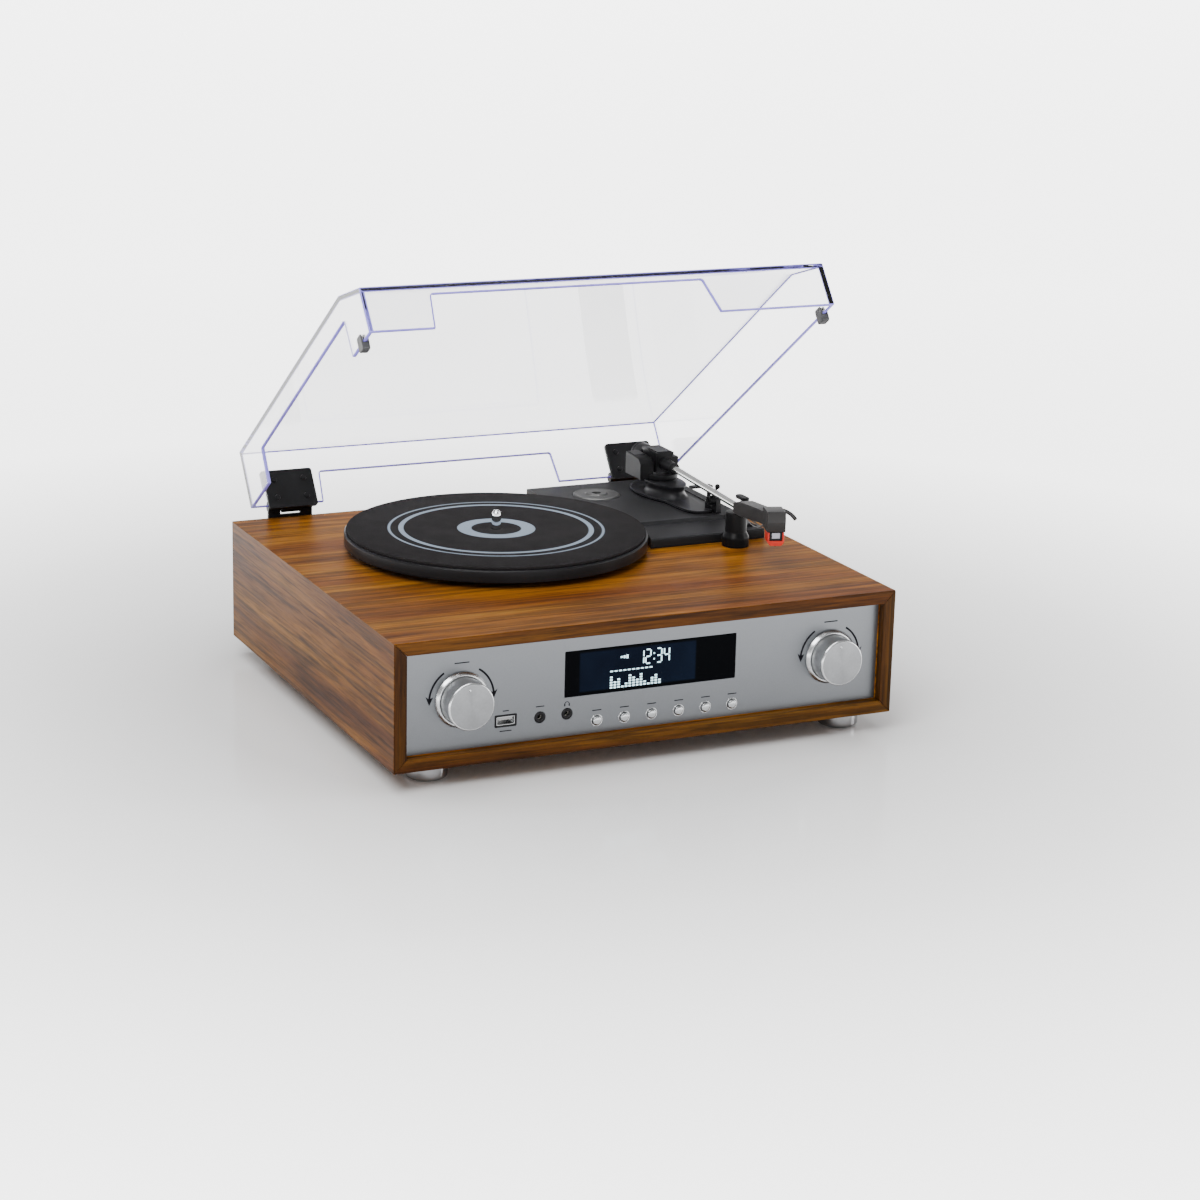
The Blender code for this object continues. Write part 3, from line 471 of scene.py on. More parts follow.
def turned(profile, axis, centre, soften=0.4, steps=ROUND):
    """A profile of (radius, distance along the axis) turned about an axis of the cabinet's frame."""
    solid = min(profile[0][0], profile[-1][0]) == 0
    points = rounded(profile, soften, not solid)
    work = bmesh.new()
    rings = []
    for radius, along in points:
        if radius < 1e-6:
            rings.append([work.verts.new((0, 0, along * MM))] * steps)
        else:
            ring = []
            for step in range(steps):
                angle = 2 * math.pi * step / steps
                x, y = radius * MM * math.cos(angle), radius * MM * math.sin(angle)
                ring.append(work.verts.new((x, y, along * MM)))
            rings.append(ring)
    following = rings[1:] if solid else rings[1:] + rings[:1]
    for ring, after in zip(rings, following):
        for step in range(steps):
            beside = (step + 1) % steps
            corners = []
            for vert in (ring[step], ring[beside], after[beside], after[step]):
                if vert not in corners:
                    corners.append(vert)
            if len(corners) > 2:
                work.faces.new(corners)
    mesh = from_bmesh(work, "turned")
    first, second = centre
    if axis == "Z":
        place = Matrix.Translation(at(first, second, 0))
    elif axis == "Y":
        place = Matrix.Translation(at(first, 0, second)) @ Matrix.Rotation(-math.pi / 2, 4, "X")
    else:
        place = Matrix.Translation(at(0, first, second)) @ Matrix.Rotation(math.pi / 2, 4, "Y")
    mesh.transform(place)
    return mesh


def on_deck(profile):
    """Points given by their height above the cabinet's top, as heights above its underside."""
    return [(radius, TOP + height) for radius, height in profile]


def skin(work, rings):
    """Faces between each ring of points and the next."""
    for ring, after in zip(rings, rings[1:]):
        for step in range(len(ring)):
            beside = (step + 1) % len(ring)
            work.faces.new((ring[step], ring[beside], after[beside], after[step]))


def prism(outline, axis, low, high, corner=0.0):
    """A flat outline pushed along an axis: (y, z) for X, (x, z) for Y, (x, y) for Z."""
    points = rounded(outline, corner, True) if corner else outline
    work = bmesh.new()

    def place(a, b, along):
        if axis == "X":
            return at(along, a, b)
        if axis == "Y":
            return at(a, along, b)
        return at(a, b, along)

    ends = [[work.verts.new(place(a, b, along)) for a, b in points] for along in (low, high)]
    work.faces.new(ends[0])
    work.faces.new(reversed(ends[1]))
    skin(work, ends)
    return from_bmesh(work, "prism")


def rectangle(a, b, c, d):
    """A rectangle by two opposite corners, (a, b) and (c, d)."""
    return [(a, b), (c, b), (c, d), (a, d)]


def oblong(a, b, half_width, half_height):
    """The corners of a rectangle about a point."""
    return rectangle(a - half_width, b - half_height, a + half_width, b + half_height)


def block(low, high):
    work = bmesh.new()
    bmesh.ops.create_cube(work, size=1.0)
    middle = (Vector(low) + Vector(high)) / 2
    size = Vector(high) - Vector(low)
    for vertex in work.verts:
        place = Vector([c * s for c, s in zip(vertex.co, size)]) + middle
        vertex.co = at(*place)
    return from_bmesh(work, "block")


def rod(points, radius, sides=4, smooth=False):
    """A round bar through points of the cabinet's frame."""
    curve = bpy.data.curves.new("bar", "CURVE")
    curve.dimensions = "3D"
    curve.bevel_depth = radius * MM
    curve.bevel_resolution = sides
    curve.use_fill_caps = True
    spline = curve.splines.new("NURBS" if smooth else "POLY")
    spline.points.add(len(points) - 1)
    for point, place in zip(spline.points, points):
        point.co = (*at(*place), 1.0)
    if smooth:
        spline.order_u = 4
        spline.use_endpoint_u = True
        spline.resolution_u = 6
    return evaluated(new_object("bar", curve), "bar")


def ball(centre, radius):
    work = bmesh.new()
    bmesh.ops.create_uvsphere(work, u_segments=32, v_segments=20, radius=radius * MM)
    bmesh.ops.translate(work, verts=work.verts, vec=centre)
    return from_bmesh(work, "ball")


def combined(mesh, tools, operation):
    temporary = new_object("work", mesh)
    cutters = []
    for tool in tools:
        cutter = new_object("tool", tool)
        boolean = temporary.modifiers.new("Boolean", "BOOLEAN")
        boolean.operation = operation
        boolean.solver = "EXACT"
        boolean.object = cutter
        cutters.append(cutter)
    made = evaluated(temporary, mesh.name)
    for cutter in cutters:
        bpy.data.objects.remove(cutter)
    return made


def carved(mesh, *tools):
    return combined(mesh, tools, "DIFFERENCE")


def joined(mesh, *tools):
    return combined(mesh, tools, "UNION")


def together(*meshes):
    """Several meshes in one, as separate bodies."""
    work = bmesh.new()
    for mesh in meshes:
        work.from_mesh(mesh)
    return from_bmesh(work, "group")


def arc(centre, radius, start, end, count):
    step = math.radians(end - start) / count
    first = math.radians(start)
    return [(centre[0] + radius * math.cos(first + step * i),
             centre[1] + radius * math.sin(first + step * i))
            for i in range(count + 1)]


def drill(radius, low, high, axis, centre, steps=48):
    return turned(rectangle(0, high, radius, low), axis, centre, 0.0001, steps)


def piece(name, mesh, finish, body, replaces=(), slot=None, bevel=0.0, segments=3):
    """Finish a mesh as a named piece that rides on a body; its slot, the finish's usual one if none is
    named, is worked out but not used.
    """
    for material in finish if isinstance(finish, (list, tuple)) else [finish]:
        mesh.materials.append(M[material])
    made = new_object(name, mesh)
    if bevel:
        softener = made.modifiers.new("Edges", "BEVEL")
        softener.width = bevel * MM
        softener.segments = segments
        softener.limit_method = "ANGLE"
        softener.angle_limit = math.radians(40)
        softener.harden_normals = True
    mesh.shade_smooth()
    mesh.set_sharp_from_angle(angle=math.radians(38))
    if replaces:
        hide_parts(*([replaces] if isinstance(replaces, str) else replaces))
    slot = slot or SLOTS[finish]
    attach(made, body)
    return made


def refinish(node, material):
    """Give a CAD node that keeps its own shape a better material."""
    item = NODES[node]
    item.data.materials.clear()
    item.data.materials.append(M[material])


# ---------------------------------------------------------------- cabinet

def wall_rings(work, stations):
    rings = []
    for inset, back in stations:
        right = WIDTH - inset
        top = HEIGHT - inset
        corners = rectangle(inset, inset, right, top)
        rings.append([work.verts.new(at(x, back, z)) for x, z in corners])
    return rings


def build_cabinet():
    clear = 0.42
    work = bmesh.new()
    rings = wall_rings(work, [(0, clear), (0, DEPTH), (WALL, DEPTH), (WALL, WALL + clear)])
    skin(work, rings + rings[:1])
    walls = from_bmesh(work, "walls")
    holes = [drill(7, TOP - 12, TOP + 3, "Z", SPINDLE), drill(6.5, TOP - 12, TOP + 3, "Z", PULLEY),
             drill(6, TOP - 12, TOP + 3, "Z", PIVOT)]
    shell = piece("cabinet_veneer", carved(walls, *holes), ["wood_top", "wood_side"], "cabinet",
                  "cabinet_shell", "walnut", 0.5)
    for face in shell.data.polygons:
        face.material_index = 1 if abs(face.normal.x) > 0.7 else 0
    build_front_frame()
    build_feet()
    build_back()


def build_front_frame():
    """Four bars, mitred at the corners with a hair's gap, and a pale lip round their inner edge."""
    work = bmesh.new()
    stations = [(0, 0), (7.2, 7.2), (FRAME_BAR, 7.2), (FRAME_BAR, 0)]
    gap = 0.0001
    for side in range(4):
        beside = (side + 1) % 4
        bar = []
        for ring in wall_rings(work, stations):
            first, second = ring[side], ring[beside]
            toward = (second.co - first.co).normalized() * gap
            first.co += toward
            second.co -= toward
            bar.append((first, second))
            for spare in (ring[(side + 2) % 4], ring[(side + 3) % 4]):
                work.verts.remove(spare)
        for (a, b), (c, d) in zip(bar, bar[1:] + bar[:1]):
            work.faces.new((a, b, d, c))
        work.faces.new([pair[0] for pair in bar])
        work.faces.new([pair[1] for pair in reversed(bar)])
    frame_piece = piece("front_frame_bars", from_bmesh(work, "bars"), ["frame_across", "frame_upright"],
                        "cabinet", "front_frame", "walnut_frame", 0.35)
    for face in frame_piece.data.polygons:
        middle = face.center
        from_side = min(middle.x - SHELL_LOW[0], SHELL_HIGH[0] - middle.x)
        from_edge = min(middle.z - SHELL_LOW[2], SHELL_HIGH[2] - middle.z)
        face.material_index = 1 if from_side < from_edge else 0
    lip = bmesh.new()
    rings = wall_rings(lip, [(FRAME_BAR, 6.4), (FRAME_BAR, 7.3), (9.85, 7.3), (9.85, 6.4)])
    skin(lip, rings + rings[:1])
    piece("front_frame_lip", from_bmesh(lip, "lip"), "pale_edge", "cabinet", bevel=0.15)


def build_feet():
    for name, place in FOOT_PLACES.items():
        profile = [(0, -0.2), (12.5, -0.2), (12.5, -2.6), (14.9, -3.2), (14.9, -13.2), (14.2, -14.4),
                   (0, -14.4)]
        piece("foot_%s_chrome" % name, turned(profile, "Z", place, 0.8), "foot", "cabinet",
              "foot_" + name)
        pad = rectangle(0, -14.2, 12.6, -15.0)
        piece("foot_%s_pad" % name, turned(pad, "Z", place, 0.2), "rubber", "cabinet")


def screw_head(x, y, z, radius=3.0):
    """A cross-slotted screw head on the back."""
    head = turned([(0, y + 1.4), (radius * 0.7, y + 1.2), (radius, y), (0, y)], "Y", (x, z), 0.3, 32)
    slots = [block((x - radius * 0.6, y + 0.8, z - 0.35), (x + radius * 0.6, y + 3, z + 0.35)),
             block((x - 0.35, y + 0.8, z - radius * 0.6), (x + 0.35, y + 3, z + radius * 0.6))]
    return carved(head, *slots)


VENT_HEIGHTS = (24, 37, 50)


def build_back():
    edge = FRAME_BAR
    panel = block((edge, 349, edge), (WIDTH - edge, 352, HEIGHT - edge))
    vents = [block((80, 340, height), (150, 360, height + 6)) for height in VENT_HEIGHTS]
    panel = carved(panel, block((249.7, 340, 34.7), (310.3, 360, 57.3)),
                   block((169.7, 340, 37.7), (200.3, 360, 54.3)), *vents)
    piece("rear_panel_board", panel, "fibre", "cabinet", "rear_panel", bevel=0.3)
    heads = [screw_head(x, 352, z) for x in (20, 140, 240, 370) for z in (17, 76)]
    piece("rear_panel_screws", together(*heads), "steel", "cabinet")
    refinish("speaker_terminals", "black")
    levers = []
    for index in range(4):
        x = 259 + index * 14
        lever = block((x - 4, 353.6, 45), (x + 4, 357.5, 53))
        hole = turned(rectangle(0, 355.2, 3.2, 354.2), "Y", (x, 40), 0.2, 32)
        levers.append((index, lever, hole))
    for colour, chosen in (("black", (0, 2)), ("terminal_red", (1, 3))):
        meshes = [lever for index, lever, _ in levers if index in chosen]
        piece("terminal_levers_" + colour, together(*meshes), colour, "cabinet", (), "black_plastic", 0.5)
    piece("terminal_contacts", together(*[hole for _, _, hole in levers]), "contact", "cabinet")
    refinish("line_out_sockets", "black")
    for index, colour in ((0, "tongue"), (1, "terminal_red")):
        place = (185 - 7.5 + 15 * index, 46)
        collar = turned(rectangle(2.2, 361.3, 4.0, 355), "Y", place, 0.3, 48)
        piece("line_out_collar_%d" % (index + 1), collar, "contact", "cabinet")
        ring = turned(rectangle(4.3, 355.5, 5.6, 353.6), "Y", place, 0.3, 48)
        piece("line_out_ring_%d" % (index + 1), ring, colour, "cabinet", (), "black_plastic")


# ---------------------------------------------------------------- front panel

KNOBS = {"left": (52.2, 46.0), "right": (341.0, 46.0)}
JACKS = {"aux_jack": (111.3, 26.0), "headphone_jack": (132.0, 26.2)}
BUTTONS = [(155.0 + 21.4 * number, 18.7) for number in range(6)]
USB = (85.4, 26.6)
DISPLAY = (130.0, 263.5, 38.4, 71.3)


def build_fascia():
    edge = FRAME_BAR + 0.3
    x0, x1, z0, z1 = DISPLAY
    plate = block((edge, 7.5, edge), (WIDTH - edge, 9.5, HEIGHT - edge))
    opening = rectangle(x0 - 0.3, z0 - 0.3, x1 + 0.3, z1 + 0.3)
    window = prism(rounded(opening, 0.8, True), "Y", 2, 15)
    usb_x, usb_z = USB
    socket = prism(oblong(usb_x, usb_z, 8.3, 4.5), "Y", 2, 15, 1.0)
    tools = [window, socket]
    tools += [drill(3.6, 2, 15, "Y", place) for place in KNOBS.values()]
    tools += [drill(4.3, 2, 15, "Y", place) for place in JACKS.values()]
    tools += [drill(3.9, 2, 15, "Y", place) for place in BUTTONS]
    piece("fascia_plate", carved(plate, *tools), "fascia", "cabinet", "fascia", bevel=0.25)
    build_print()


def ribbon(points, width, front, thickness=0.06):
    """A flat printed stroke through (x, z) points, standing a hair proud of the panel."""
    left = []
    right = []
    for index, point in enumerate(points):
        here = Vector(point)
        before = Vector(points[max(index - 1, 0)])
        after = Vector(points[min(index + 1, len(points) - 1)])
        side = (after - before).normalized()
        across = Vector((-side.y, side.x)) * width / 2
        left.append(tuple(here + across))
        right.append(tuple(here - across))
    return prism(left + right[::-1], "Y", front - thickness, front + 0.1)


def build_print():
    """Printed marks: turning arrows round the knobs, a headphone sign and plain dashes for legends."""
    front = 7.5
    strokes = []
    for x, z in KNOBS.values():
        for start, end in ((123, 174), (58, 6)):
            strokes.append(ribbon(arc((x, z), 24.0, start, end, 14), 1.4, front))
            sign = 1 if end > start else -1
            tip = arc((x, z), 24.0, end, end + sign * 11, 1)[1]
            tail = math.radians(end - sign * 4)
            inner = (x + 21.3 * math.cos(tail), z + 21.3 * math.sin(tail))
            outer = (x + 27.1 * math.cos(tail), z + 27.1 * math.sin(tail))
            notch = (x + 24.0 * math.cos(math.radians(end)), z + 24.0 * math.sin(math.radians(end)))
            strokes.append(prism([tip, inner, notch, outer], "Y", front - 0.06, front + 0.1))
        strokes.append(ribbon([(x - 5.5, z + 26.2), (x + 5.5, z + 26.2)], 0.8, front))
    x, z = 131.8, 33.4
    strokes.append(ribbon(arc((x, z), 1.7, 0, 180, 12), 0.45, front))
    for side in (-1, 1):
        strokes.append(ribbon([(x + side * 1.7, z + 0.2), (x + side * 1.7, z - 1.5)], 0.9, front))
    for place, length in [((USB[0], USB[1] + 7.2), 4.6), ((USB[0], USB[1] - 7.4), 9.0),
                          ((JACKS["aux_jack"][0], 34.0), 6.4)] + [((a, b + 7.6), 7.0) for a, b in BUTTONS]:
        a, b = place
        strokes.append(ribbon([(a - length / 2, b), (a + length / 2, b)], 0.7, front))
    piece("panel_print", together(*strokes), "print", "cabinet")


SEGMENTS = {"0": "abcdef", "1": "bc", "2": "abged", "3": "abgcd", "4": "fgbc", "5": "afgcd", "6": "afgedc",
            "7": "abc", "8": "abcdefg", "9": "abcdfg"}


def digit(character, x, z, width, height):
    """Strokes of a seven-part numeral whose lower left corner is (x, z)."""
    half = height / 2
    ends = {"a": ((0, height), (width, height)), "b": ((width, height), (width, half)),
            "c": ((width, half), (width, 0)), "d": ((0, 0), (width, 0)), "e": ((0, 0), (0, half)),
            "f": ((0, half), (0, height)), "g": ((0, half), (width, half))}
    strokes = []
    trim = 0.55
    for key in SEGMENTS[character]:
        (ax, az), (bx, bz) = ends[key]
        length = math.hypot(bx - ax, bz - az)
        ux, uz = (bx - ax) / length * trim, (bz - az) / length * trim
        strokes.append(ribbon([(x + ax + ux, z + az + uz), (x + bx - ux, z + bz - uz)], 0.95, 7.12))
    return strokes


def build_display():
    x0, x1, z0, z1 = DISPLAY
    window = block((x0, 7.2, z0), (x1, 9.2, z1))
    piece("display_pane", window, "display", "cabinet", "display_window", bevel=0.25)
    strokes = []
    for character, x in zip("1234", (186.5, 192.0, 200.5, 206.5)):
        strokes += digit(character, x, 56.6, 3.9, 10.2)
    for z in (59.4, 63.6):
        strokes.append(ribbon([(198.0, z), (199.0, z)], 1.0, 7.12))
    levels = [5, 3, 4, 1, 2, 5, 4, 3, 5, 2, 1, 3, 4, 2]
    for index, level in enumerate(levels):
        x = 164.5 + index * 2.9
        for row in range(level):
            z = 41.6 + row * 1.9
            strokes.append(ribbon([(x, z), (x + 1.9, z)], 1.15, 7.12))
    for index in range(10):
        x = 164.5 + index * 3.4
        strokes.append(ribbon([(x, 53.6), (x + 2.2, 53.6)], 0.9, 7.12))
    for index in range(3):
        x = 172.4 + index * 2.2
        strokes.append(ribbon([(x, 63.4), (x + 1.5, 63.4)], 1.2 + 0.7 * index, 7.12))
    piece("display_digits", together(*strokes), "glow", "cabinet")


def build_knobs():
    for name, place in KNOBS.items():
        x, z = place
        ring = [(17.45, 7.4), (20.2, 7.4), (20.2, 5.6), (18.4, 3.5), (17.45, 3.5)]
        piece("knob_ring_%s_bright" % name, turned(ring, "Y", place, 0.25), "bright", "cabinet",
              "knob_ring_" + name)
        body = [(0, 15.0), (3.0, 15.0), (3.0, 6.0), (17.0, 6.0), (17.0, -10.5), (16.5, -11.2),
                (15.9, -11.55), (0, -11.55)]
        dimple = ball(at(x - 1.5, -11.9, z + 12.2), 1.0)
        knob = piece("knob_%s_spun" % name, carved(turned(body, "Y", place, 0.2, 128), dimple),
                     ["turned", "spun", "bright"], "knob_" + name, "knob_" + name, "aluminium")
        centre = at(x, 0, z)
        for face in knob.data.polygons:
            radius = math.hypot(face.center.x - centre.x, face.center.z - centre.z) / MM
            depth = (face.center.y - centre.y) / MM
            if depth < -11.5 and radius < 15.9:
                face.material_index = 1
            elif depth < -10.2:
                face.material_index = 2


def build_buttons():
    for number, place in enumerate(BUTTONS, 1):
        cap = [(0, 20.8), (1.2, 20.8), (1.2, 11.3), (5.2, 11.3), (5.2, 10.1), (3.35, 10.1), (3.35, 6.4),
               (3.15, 5.95), (2.4, 5.55), (1.2, 5.35), (0, 5.3)]
        piece("button_%d_cap" % number, turned(cap, "Y", place, 0.15, 48), "button", "button_%d" % number,
              "button_%d" % number)
        ring = [(3.75, 7.9), (4.5, 7.9), (4.5, 7.35), (4.25, 7.2), (3.75, 7.35)]
        piece("button_%d_ring" % number, turned(ring, "Y", place, 0.08, 48), "bright", "cabinet")


def build_sockets():
    x, z = USB
    bezel = carved(prism(oblong(x, z, 7.95, 4.2), "Y", 7.2, 21.7, 1.1),
                   prism(oblong(x, z, 6.9, 3.1), "Y", 2, 20, 0.6))
    piece("usb_bezel", bezel, "gloss", "cabinet", "usb_socket", "steel", 0.2)
    liner = carved(prism(oblong(x, z, 6.85, 3.05), "Y", 7.6, 19.8, 0.5),
                   prism(oblong(x, z, 6.45, 2.65), "Y", 2, 19.2, 0.4))
    piece("usb_liner", liner, "bright", "cabinet", (), "steel")
    piece("usb_tongue", block((x - 5.7, 8.6, z + 0.5), (x + 5.7, 19.6, z + 2.35)), "tongue", "cabinet",
          bevel=0.2)
    contacts = [block((x - 4.3 + 2.4 * i, 8.9, z + 0.35),
                      (x - 3.2 + 2.4 * i, 18, z + 0.6)) for i in range(4)]
    piece("usb_contacts", together(*contacts), "contact", "cabinet")
    for name, place in JACKS.items():
        barrel = [(1.8, 21.7), (4.0, 21.7), (4.0, 7.3), (3.6, 6.9), (2.4, 6.9), (1.8, 7.5)]
        piece(name + "_barrel", turned(barrel, "Y", place, 0.15, 64), "gloss", "cabinet", name)
        contact = rectangle(1.45, 21.0, 1.78, 9.4)
        piece(name + "_contact", turned(contact, "Y", place, 0.05, 48), "contact", "cabinet")


def build_inside():
    for node, material in (("front_board", "board"), ("lcd_module", "black"),
                           ("encoder_left", "steel"), ("encoder_right", "steel"),
                           ("encoder_plunger_left", "steel"), ("encoder_plunger_right", "steel")):
        refinish(node, material)


# ---------------------------------------------------------------- platter and deck

def build_platter():
    profile = [(3.95, 13.8), (113.9, 13.8), (115.0, 12.9), (115.0, 4.6), (112.5, 4.6), (112.5, 10.8),
               (78, 10.8), (78, 5.2), (75.5, 5.2), (75.5, 10.8), (14, 10.8), (14, 3.0), (3.95, 3.0)]
    piece("platter_disc", turned(on_deck(profile), "Z", SPINDLE, 0.35, 192), "gloss", "platter",
          ("platter", "platter_rim", "platter_drive_ring"))
    felt_profile = rectangle(3.95, 16.0, 113.4, 14.05)
    piece("slip_mat_felt", turned(on_deck(felt_profile), "Z", SPINDLE, 0.5, 192), "mat", "platter",
          "slip_mat")
    pin = [(0, 30.5), (1.3, 30.35), (2.5, 29.6), (3.3, 28.2), (3.6, 26.4), (3.6, 2.6), (16, 2.6), (16, 0.3),
           (6, 0.3), (6, -18), (0, -18)]
    piece("spindle_chrome", turned(on_deck(pin), "Z", SPINDLE, 0.4, 64), "chrome", "cabinet",
          "bearing_spindle")
    refinish("drive_belt", "rubber")
    refinish("motor", "steel")
    wheel = [(1.5, 10.0), (6.0, 10.0), (6.0, 9.7), (5.9, 7.7), (6.0, 5.7), (6.0, 5.4), (1.5, 5.4)]
    piece("pulley_turned", turned(on_deck(wheel), "Z", PULLEY, 0.1, 64), "contact", "pulley",
          "motor_pulley")


def build_deck():
    side = [(166.5, 0.3), (166.5, 6.6), (167.4, 7.5), (204.5, 7.5), (206, 10.5), (336.2, 10.5),
            (337, 9.7), (337, 0.3)]
    outline = on_deck(rounded(side, 0.4, True, 3))
    plate = prism(outline, "X", 243, 370)
    slot_cut = block((355.5, 176, TOP + 4.2), (368.5, 181, TOP + 12))
    plate = carved(plate, drill(118, TOP - 5, TOP + 20, "Z", SPINDLE, 192),
                   drill(19.5, TOP + 4.5, TOP + 20, "Z", ADAPTER, 96),
                   drill(6, TOP - 5, TOP + 20, "Z", PIVOT), slot_cut)
    piece("tonearm_deck_panel", plate, "deck", "cabinet", "tonearm_deck", bevel=0.35)
    disc = [(3.7, 12.1), (8, 12.1), (9.3, 11.2), (16.4, 11.2), (17.8, 11.5), (19, 10.7), (19, 4.8),
            (3.7, 4.8)]
    piece("adapter_45_disc", turned(on_deck(disc), "Z", ADAPTER, 0.25, 96), "adapter", "adapter",
          "adapter_45")
    knob = block((359, 176.5, TOP + 4.5), (365, 180.5, TOP + 10.1))
    piece("speed_switch_cap", knob, "black", "speed_switch", "speed_switch", bevel=0.6)


# ---------------------------------------------------------------- tonearm

ARM_PLATE = [(326, 316), (320, 302), (319, 290), (319.5, 278), (323, 264), (327.5, 252), (328, 234),
             (329.5, 222), (334, 214.5), (341, 212.5), (348, 214), (354.5, 219), (357, 231),
             (358, 256), (358.5, 294), (357, 312), (350, 322), (336, 324)]
PEDESTAL = [(12.5, 277.5, 16.0, 27.5), (13.2, 277.7, 15.0, 26.2), (14.0, 278, 14.2, 25.2),
            (15.6, 278.5, 13.3, 24.3), (17.5, 279, 12.8, 23.8), (19.5, 279.5, 13.1, 24.5),
            (21.0, 280, 13.8, 25.7), (22.2, 280, 14.4, 26.4), (22.9, 280, 14.3, 26.3),
            (23.0, 280, 13.9, 25.9)]


def oval(centre_y, half_width, half_length, count=64):
    """An oval round the line under the arm, seen from above."""
    turns = [2 * math.pi * step / count for step in range(count)]
    return [(PIVOT[0] + half_width * math.cos(turn),
             centre_y + half_length * math.sin(turn)) for turn in turns]


def loft(levels):
    """A closed shape through outlines of (x, y), each at its own height above the cabinet's top."""
    work = bmesh.new()
    rings = [[work.verts.new(deck(x, y, height)) for x, y in outline] for height, outline in levels]
    skin(work, rings)
    work.faces.new(list(reversed(rings[0])))
    work.faces.new(rings[-1])
    return from_bmesh(work, "loft")


def build_arm_base():
    outline = rounded(ARM_PLATE, 4.0, True, 4)
    sheet = prism(outline, "Z", TOP + 10.8, TOP + 12.6)
    pedestal = loft([(height, oval(*size)) for height, *size in PEDESTAL])
    body = carved(joined(sheet, pedestal), drill(5.3, TOP + 5, TOP + 30, "Z", PIVOT),
                  drill(1.9, TOP + 5, TOP + 15, "Z", CUE_TUBE))
    bracket = prism([(209.5, TOP + 10.8), (218.5, TOP + 10.8), (217.6, TOP + 23.5), (210.4, TOP + 23.5)],
                    "X", 350, 354, 1.0)
    guide = turned(on_deck(rectangle(1.9, 18, 2.9, 11.5)), "Z", CUE_TUBE, 0.3, 48)
    pin = turned(rectangle(0, 344.2, 1.2, 351), "X", (214, TOP + 21), 0.1, 32)
    piece("arm_base_body", joined(body, bracket, guide, pin), "gloss", "cabinet", "arm_base", bevel=0.3)
    rim_path = [(px, py, TOP + 12.5) for px, py in outline + outline[:1]]
    piece("arm_base_rim", rod(rim_path, 0.8, 3), "gloss", "cabinet")


def build_arm():
    x, y = PIVOT
    axis = (y, TOP + PIVOT_HEIGHT)
    post = turned(on_deck([(0, 27.8), (14.4, 27.8), (14.4, 23.6), (5, 23.6), (5, 14.5), (0, 14.5)]), "Z",
                  PIVOT, 0.4)
    housing = [(283, 24), (283, 36.5), (287, 40.2), (296, 41), (310.5, 41.5), (310.5, 24)]
    left = prism(on_deck(housing), "X", 318.5, 330.2)
    right = block((347.2, y - 6, TOP + 24), (352, y + 7, TOP + 41))
    yoke = carved(joined(post, left, right), drill(1.8, 325, 360, "X", axis))
    piece("arm_yoke_body", yoke, "black", "arm_yoke", "arm_yoke", bevel=0.4)
    lid_side = [(296.5, 40.6), (296.5, 41.6), (309.5, 42.1), (309.5, 40.6)]
    cover = prism(on_deck(lid_side), "X", 319.6, 329.2)
    piece("arm_yoke_cover", cover, "gloss", "arm_yoke", bevel=0.3)

    side = [(y - 8, 29.0), (y - 8, 44), (y + 18, 44), (y + 18, 33.5), (y + 4, 29.0)]
    block_mesh = prism(on_deck(side), "X", 331.9, 346.1)
    cap = prism(rectangle(331.2, y - 8.8, 346.8, y + 18.8), "Z", TOP + 43.5, TOP + 45.4, 0.8)
    collar = turned([(0, 285), (4.9, 285), (4.9, 276), (4.2, 266), (4.4, 262.6), (0, 262.6)], "Y",
                    (x, TOP + PIVOT_HEIGHT), 0.5, 64)
    stub = turned(rectangle(0, 328, 3.0, 300), "Y", (x, TOP + PIVOT_HEIGHT), 0.3, 48)
    pin = turned(rectangle(0, 327, 1.4, 350.5), "X", axis, 0.1, 32)
    body = joined(block_mesh, cap, collar, stub, pin)
    piece("arm_block_body", body, "black", "arm", "arm_block", bevel=0.35)
    plate = prism(rectangle(332.6, y - 7.4, 345.4, y + 9.5), "Z", TOP + 45.2, TOP + 46.2, 0.7)
    piece("arm_block_plate", plate, "gloss", "arm", bevel=0.3)
    ring = [(3.3, 327), (8.0, 327), (8.5, 326.4), (8.5, 323.6), (8.1, 323.3), (8.1, 322.7),
            (8.5, 322.4), (8.5, 311.6), (8.0, 311), (3.3, 311)]
    piece("counterweight_turned", turned(ring, "Y", (x, TOP + PIVOT_HEIGHT), 0.2), "gloss", "arm",
          "counterweight", "steel")
    ends = [(339.0, 264.0, TOP + 36.1), (338.1, 149.8, TOP + 31.2)]
    piece("arm_tube_chrome", rod(ends, 2.7, 10), "tube", "arm", "arm_tube")
    build_head()


HEAD = (337.2, 92.0)
HEAD_YAW = math.radians(18.0)


def turn_head(mesh):
    mesh.transform(about(at(*HEAD, 0), -HEAD_YAW, "Z"))
    return mesh


